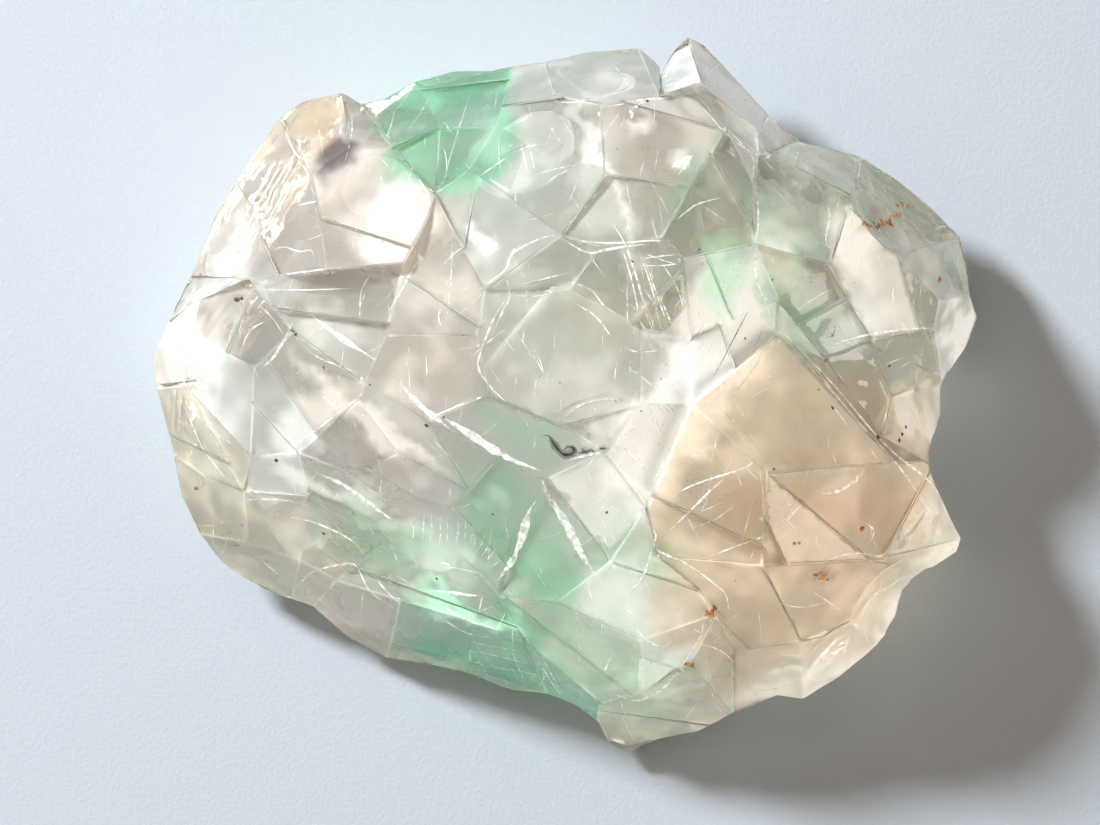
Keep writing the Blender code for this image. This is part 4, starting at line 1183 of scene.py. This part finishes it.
class FLUORITE_OT_stains(bpy.types.Operator):
    """Lay the golden and dark lines, and set the rust beads, dark grains and dust."""

    bl_idname = "fluorite.stains"
    bl_label = "Inclusions, Rust and Dust"

    def execute(self, context):
        surface = Surface(bpy.data.objects["fluorite_lump"])
        rng = random.Random(DUST_SEED)
        gold = [lay_strand(surface, line_places(text), w, d) for w, d, text in GOLD_LINES]
        piece = finish_strands(gold, "golden_lines")
        colours = ((0.52, 0.36, 0.15), (0.74, 0.62, 0.42))
        piece.data.materials.append(plain_material("iron_film", colours, 0.45, (0.25, 0.9)))

        dark = [lay_strand(surface, line_places(text), w, d) for w, d, text in DARK_LINES]
        grains = [add_grain(surface, x, y, size, rng) for x, y, size in DARK_GRAINS]
        for _ in range(DUST_GRAINS):
            x, y = rng.uniform(-20.0, 20.0), rng.uniform(-17.0, 17.0)
            grains.append(add_grain(surface, x, y, rng.uniform(0.025, 0.05), rng))
        piece = finish_strands(dark + grains, "dark_inclusion_and_dust")
        colours = ((0.015, 0.014, 0.013), (0.06, 0.05, 0.045))
        piece.data.materials.append(plain_material("dark_grains", colours, 0.5))

        beads = []
        for x, y, reach, count in RUST_BEADS:
            for _ in range(count):
                away, turn = reach * math.sqrt(rng.random()), rng.uniform(0.0, math.tau)
                place = (x + away * math.cos(turn), y + 0.6 * away * math.sin(turn))
                beads.append(add_grain(surface, *place, rng.uniform(0.06, 0.14), rng))
        piece = finish_strands(beads, "rust_beads")
        colours = ((0.20, 0.075, 0.015), (0.50, 0.24, 0.05))
        piece.data.materials.append(plain_material("rust", colours, 0.7))
        return {"FINISHED"}


class FLUORITE_OT_stage(bpy.types.Operator):
    """Set the pale floor, the soft light from the upper left and the camera above."""

    bl_idname = "fluorite.stage"
    bl_label = "Floor, Light and Camera"

    def execute(self, context):
        settings = context.scene.fluorite_settings
        self._floor(context, settings)
        self._light(context, settings)
        self._camera(context)
        context.scene.view_settings.view_transform = "Standard"
        return {"FINISHED"}

    def _floor(self, context, settings):
        bpy.ops.mesh.primitive_plane_add(size=FLOOR_SIZE, location=(0.0, 0.0, -FLOOR_GAP))
        floor = context.active_object
        floor.name = "floor"
        bpy.ops.object.transform_apply(location=True, rotation=True, scale=True)
        material = bpy.data.materials.new("pale_paper")
        nodes = Nodes(material)
        grain = nodes.noise(nodes.place(), 4.5, 1.0)
        values = {"Strength": 0.35, "Distance": 0.05 * MM, "Height": grain}
        bump = nodes.add("ShaderNodeBump", {}, values)
        paper = nodes.add(
            "ShaderNodeBsdfPrincipled",
            {},
            {
                "Base Color": (*settings.floor_colour, 1.0),
                "Roughness": 0.9,
                "Specular IOR Level": 0.2,
                "Normal": bump.outputs[0],
            },
        )
        nodes.add("ShaderNodeOutputMaterial", {}, [paper.outputs[0]])
        floor.data.materials.append(material)

    def _light(self, context, settings):
        for name, away, size, share, colour in LIGHTS:
            bpy.ops.object.light_add(type="AREA", location=LUMP_MIDDLE + Vector(away))
            light = context.active_object
            light.name = name
            light.rotation_euler = (-Vector(away)).to_track_quat("-Z", "Y").to_euler()
            light.data.shape = "DISK"
            light.data.size = size
            light.data.energy = share * settings.key_strength
            light.data.color = colour
            if name == "bounce":
                light.light_linking.receiver_collection = self._stone_pieces()
        world = bpy.data.worlds.new("pale_room")
        world.use_nodes = True
        back = world.node_tree.nodes["Background"]
        back.inputs["Color"].default_value = ROOM_COLOUR
        back.inputs["Strength"].default_value = ROOM_STRENGTH
        context.scene.world = world

    def _stone_pieces(self):
        """Return the pieces that the bounce light falls on; the floor's shadow stays dark."""
        pieces = bpy.data.collections.new("stone_pieces")
        for name in PIECES:
            pieces.objects.link(bpy.data.objects[name])
        return pieces

    def _camera(self, context):
        x, y = VIEW_MIDDLE
        spot = (x, y, RIM_HEIGHT + CAMERA_DISTANCE)
        bpy.ops.object.camera_add(location=spot, rotation=(0.0, 0.0, 0.0))
        camera = context.active_object
        camera.name = "camera"
        camera.data.sensor_width = SENSOR_WIDTH
        camera.data.lens = SENSOR_WIDTH * CAMERA_DISTANCE / VIEW_WIDTH
        camera.data.clip_start = 0.01
        camera.data.clip_end = 20.0
        context.scene.camera = camera


class FLUORITE_PT_panel(bpy.types.Panel):
    """Lists the steps that finish the specimen."""

    bl_idname = "FLUORITE_PT_panel"
    bl_label = "Fluorite Specimen"
    bl_space_type = "VIEW_3D"
    bl_region_type = "UI"
    bl_category = "Fluorite"

    def draw(self, context):
        settings = context.scene.fluorite_settings
        for name in FluoriteSettings.__annotations__:
            self.layout.prop(settings, name)
        for step in STEPS:
            self.layout.operator(step.bl_idname)


STEPS = (FLUORITE_OT_lump, FLUORITE_OT_fractures, FLUORITE_OT_stains, FLUORITE_OT_stage)
CLASSES = (FluoriteSettings, *STEPS, FLUORITE_PT_panel)


def register():
    for item in CLASSES:
        bpy.utils.register_class(item)
    bpy.types.Scene.fluorite_settings = PointerProperty(type=FluoriteSettings)


def unregister():
    del bpy.types.Scene.fluorite_settings
    for item in reversed(CLASSES):
        bpy.utils.unregister_class(item)


def main():
    """Run every step in order."""
    noise.seed_set(NOISE_SEED)
    register()
    bpy.ops.fluorite.lump()
    bpy.ops.fluorite.fractures()
    bpy.ops.fluorite.stains()
    bpy.ops.fluorite.stage()


if __name__ == "__main__":
    main()
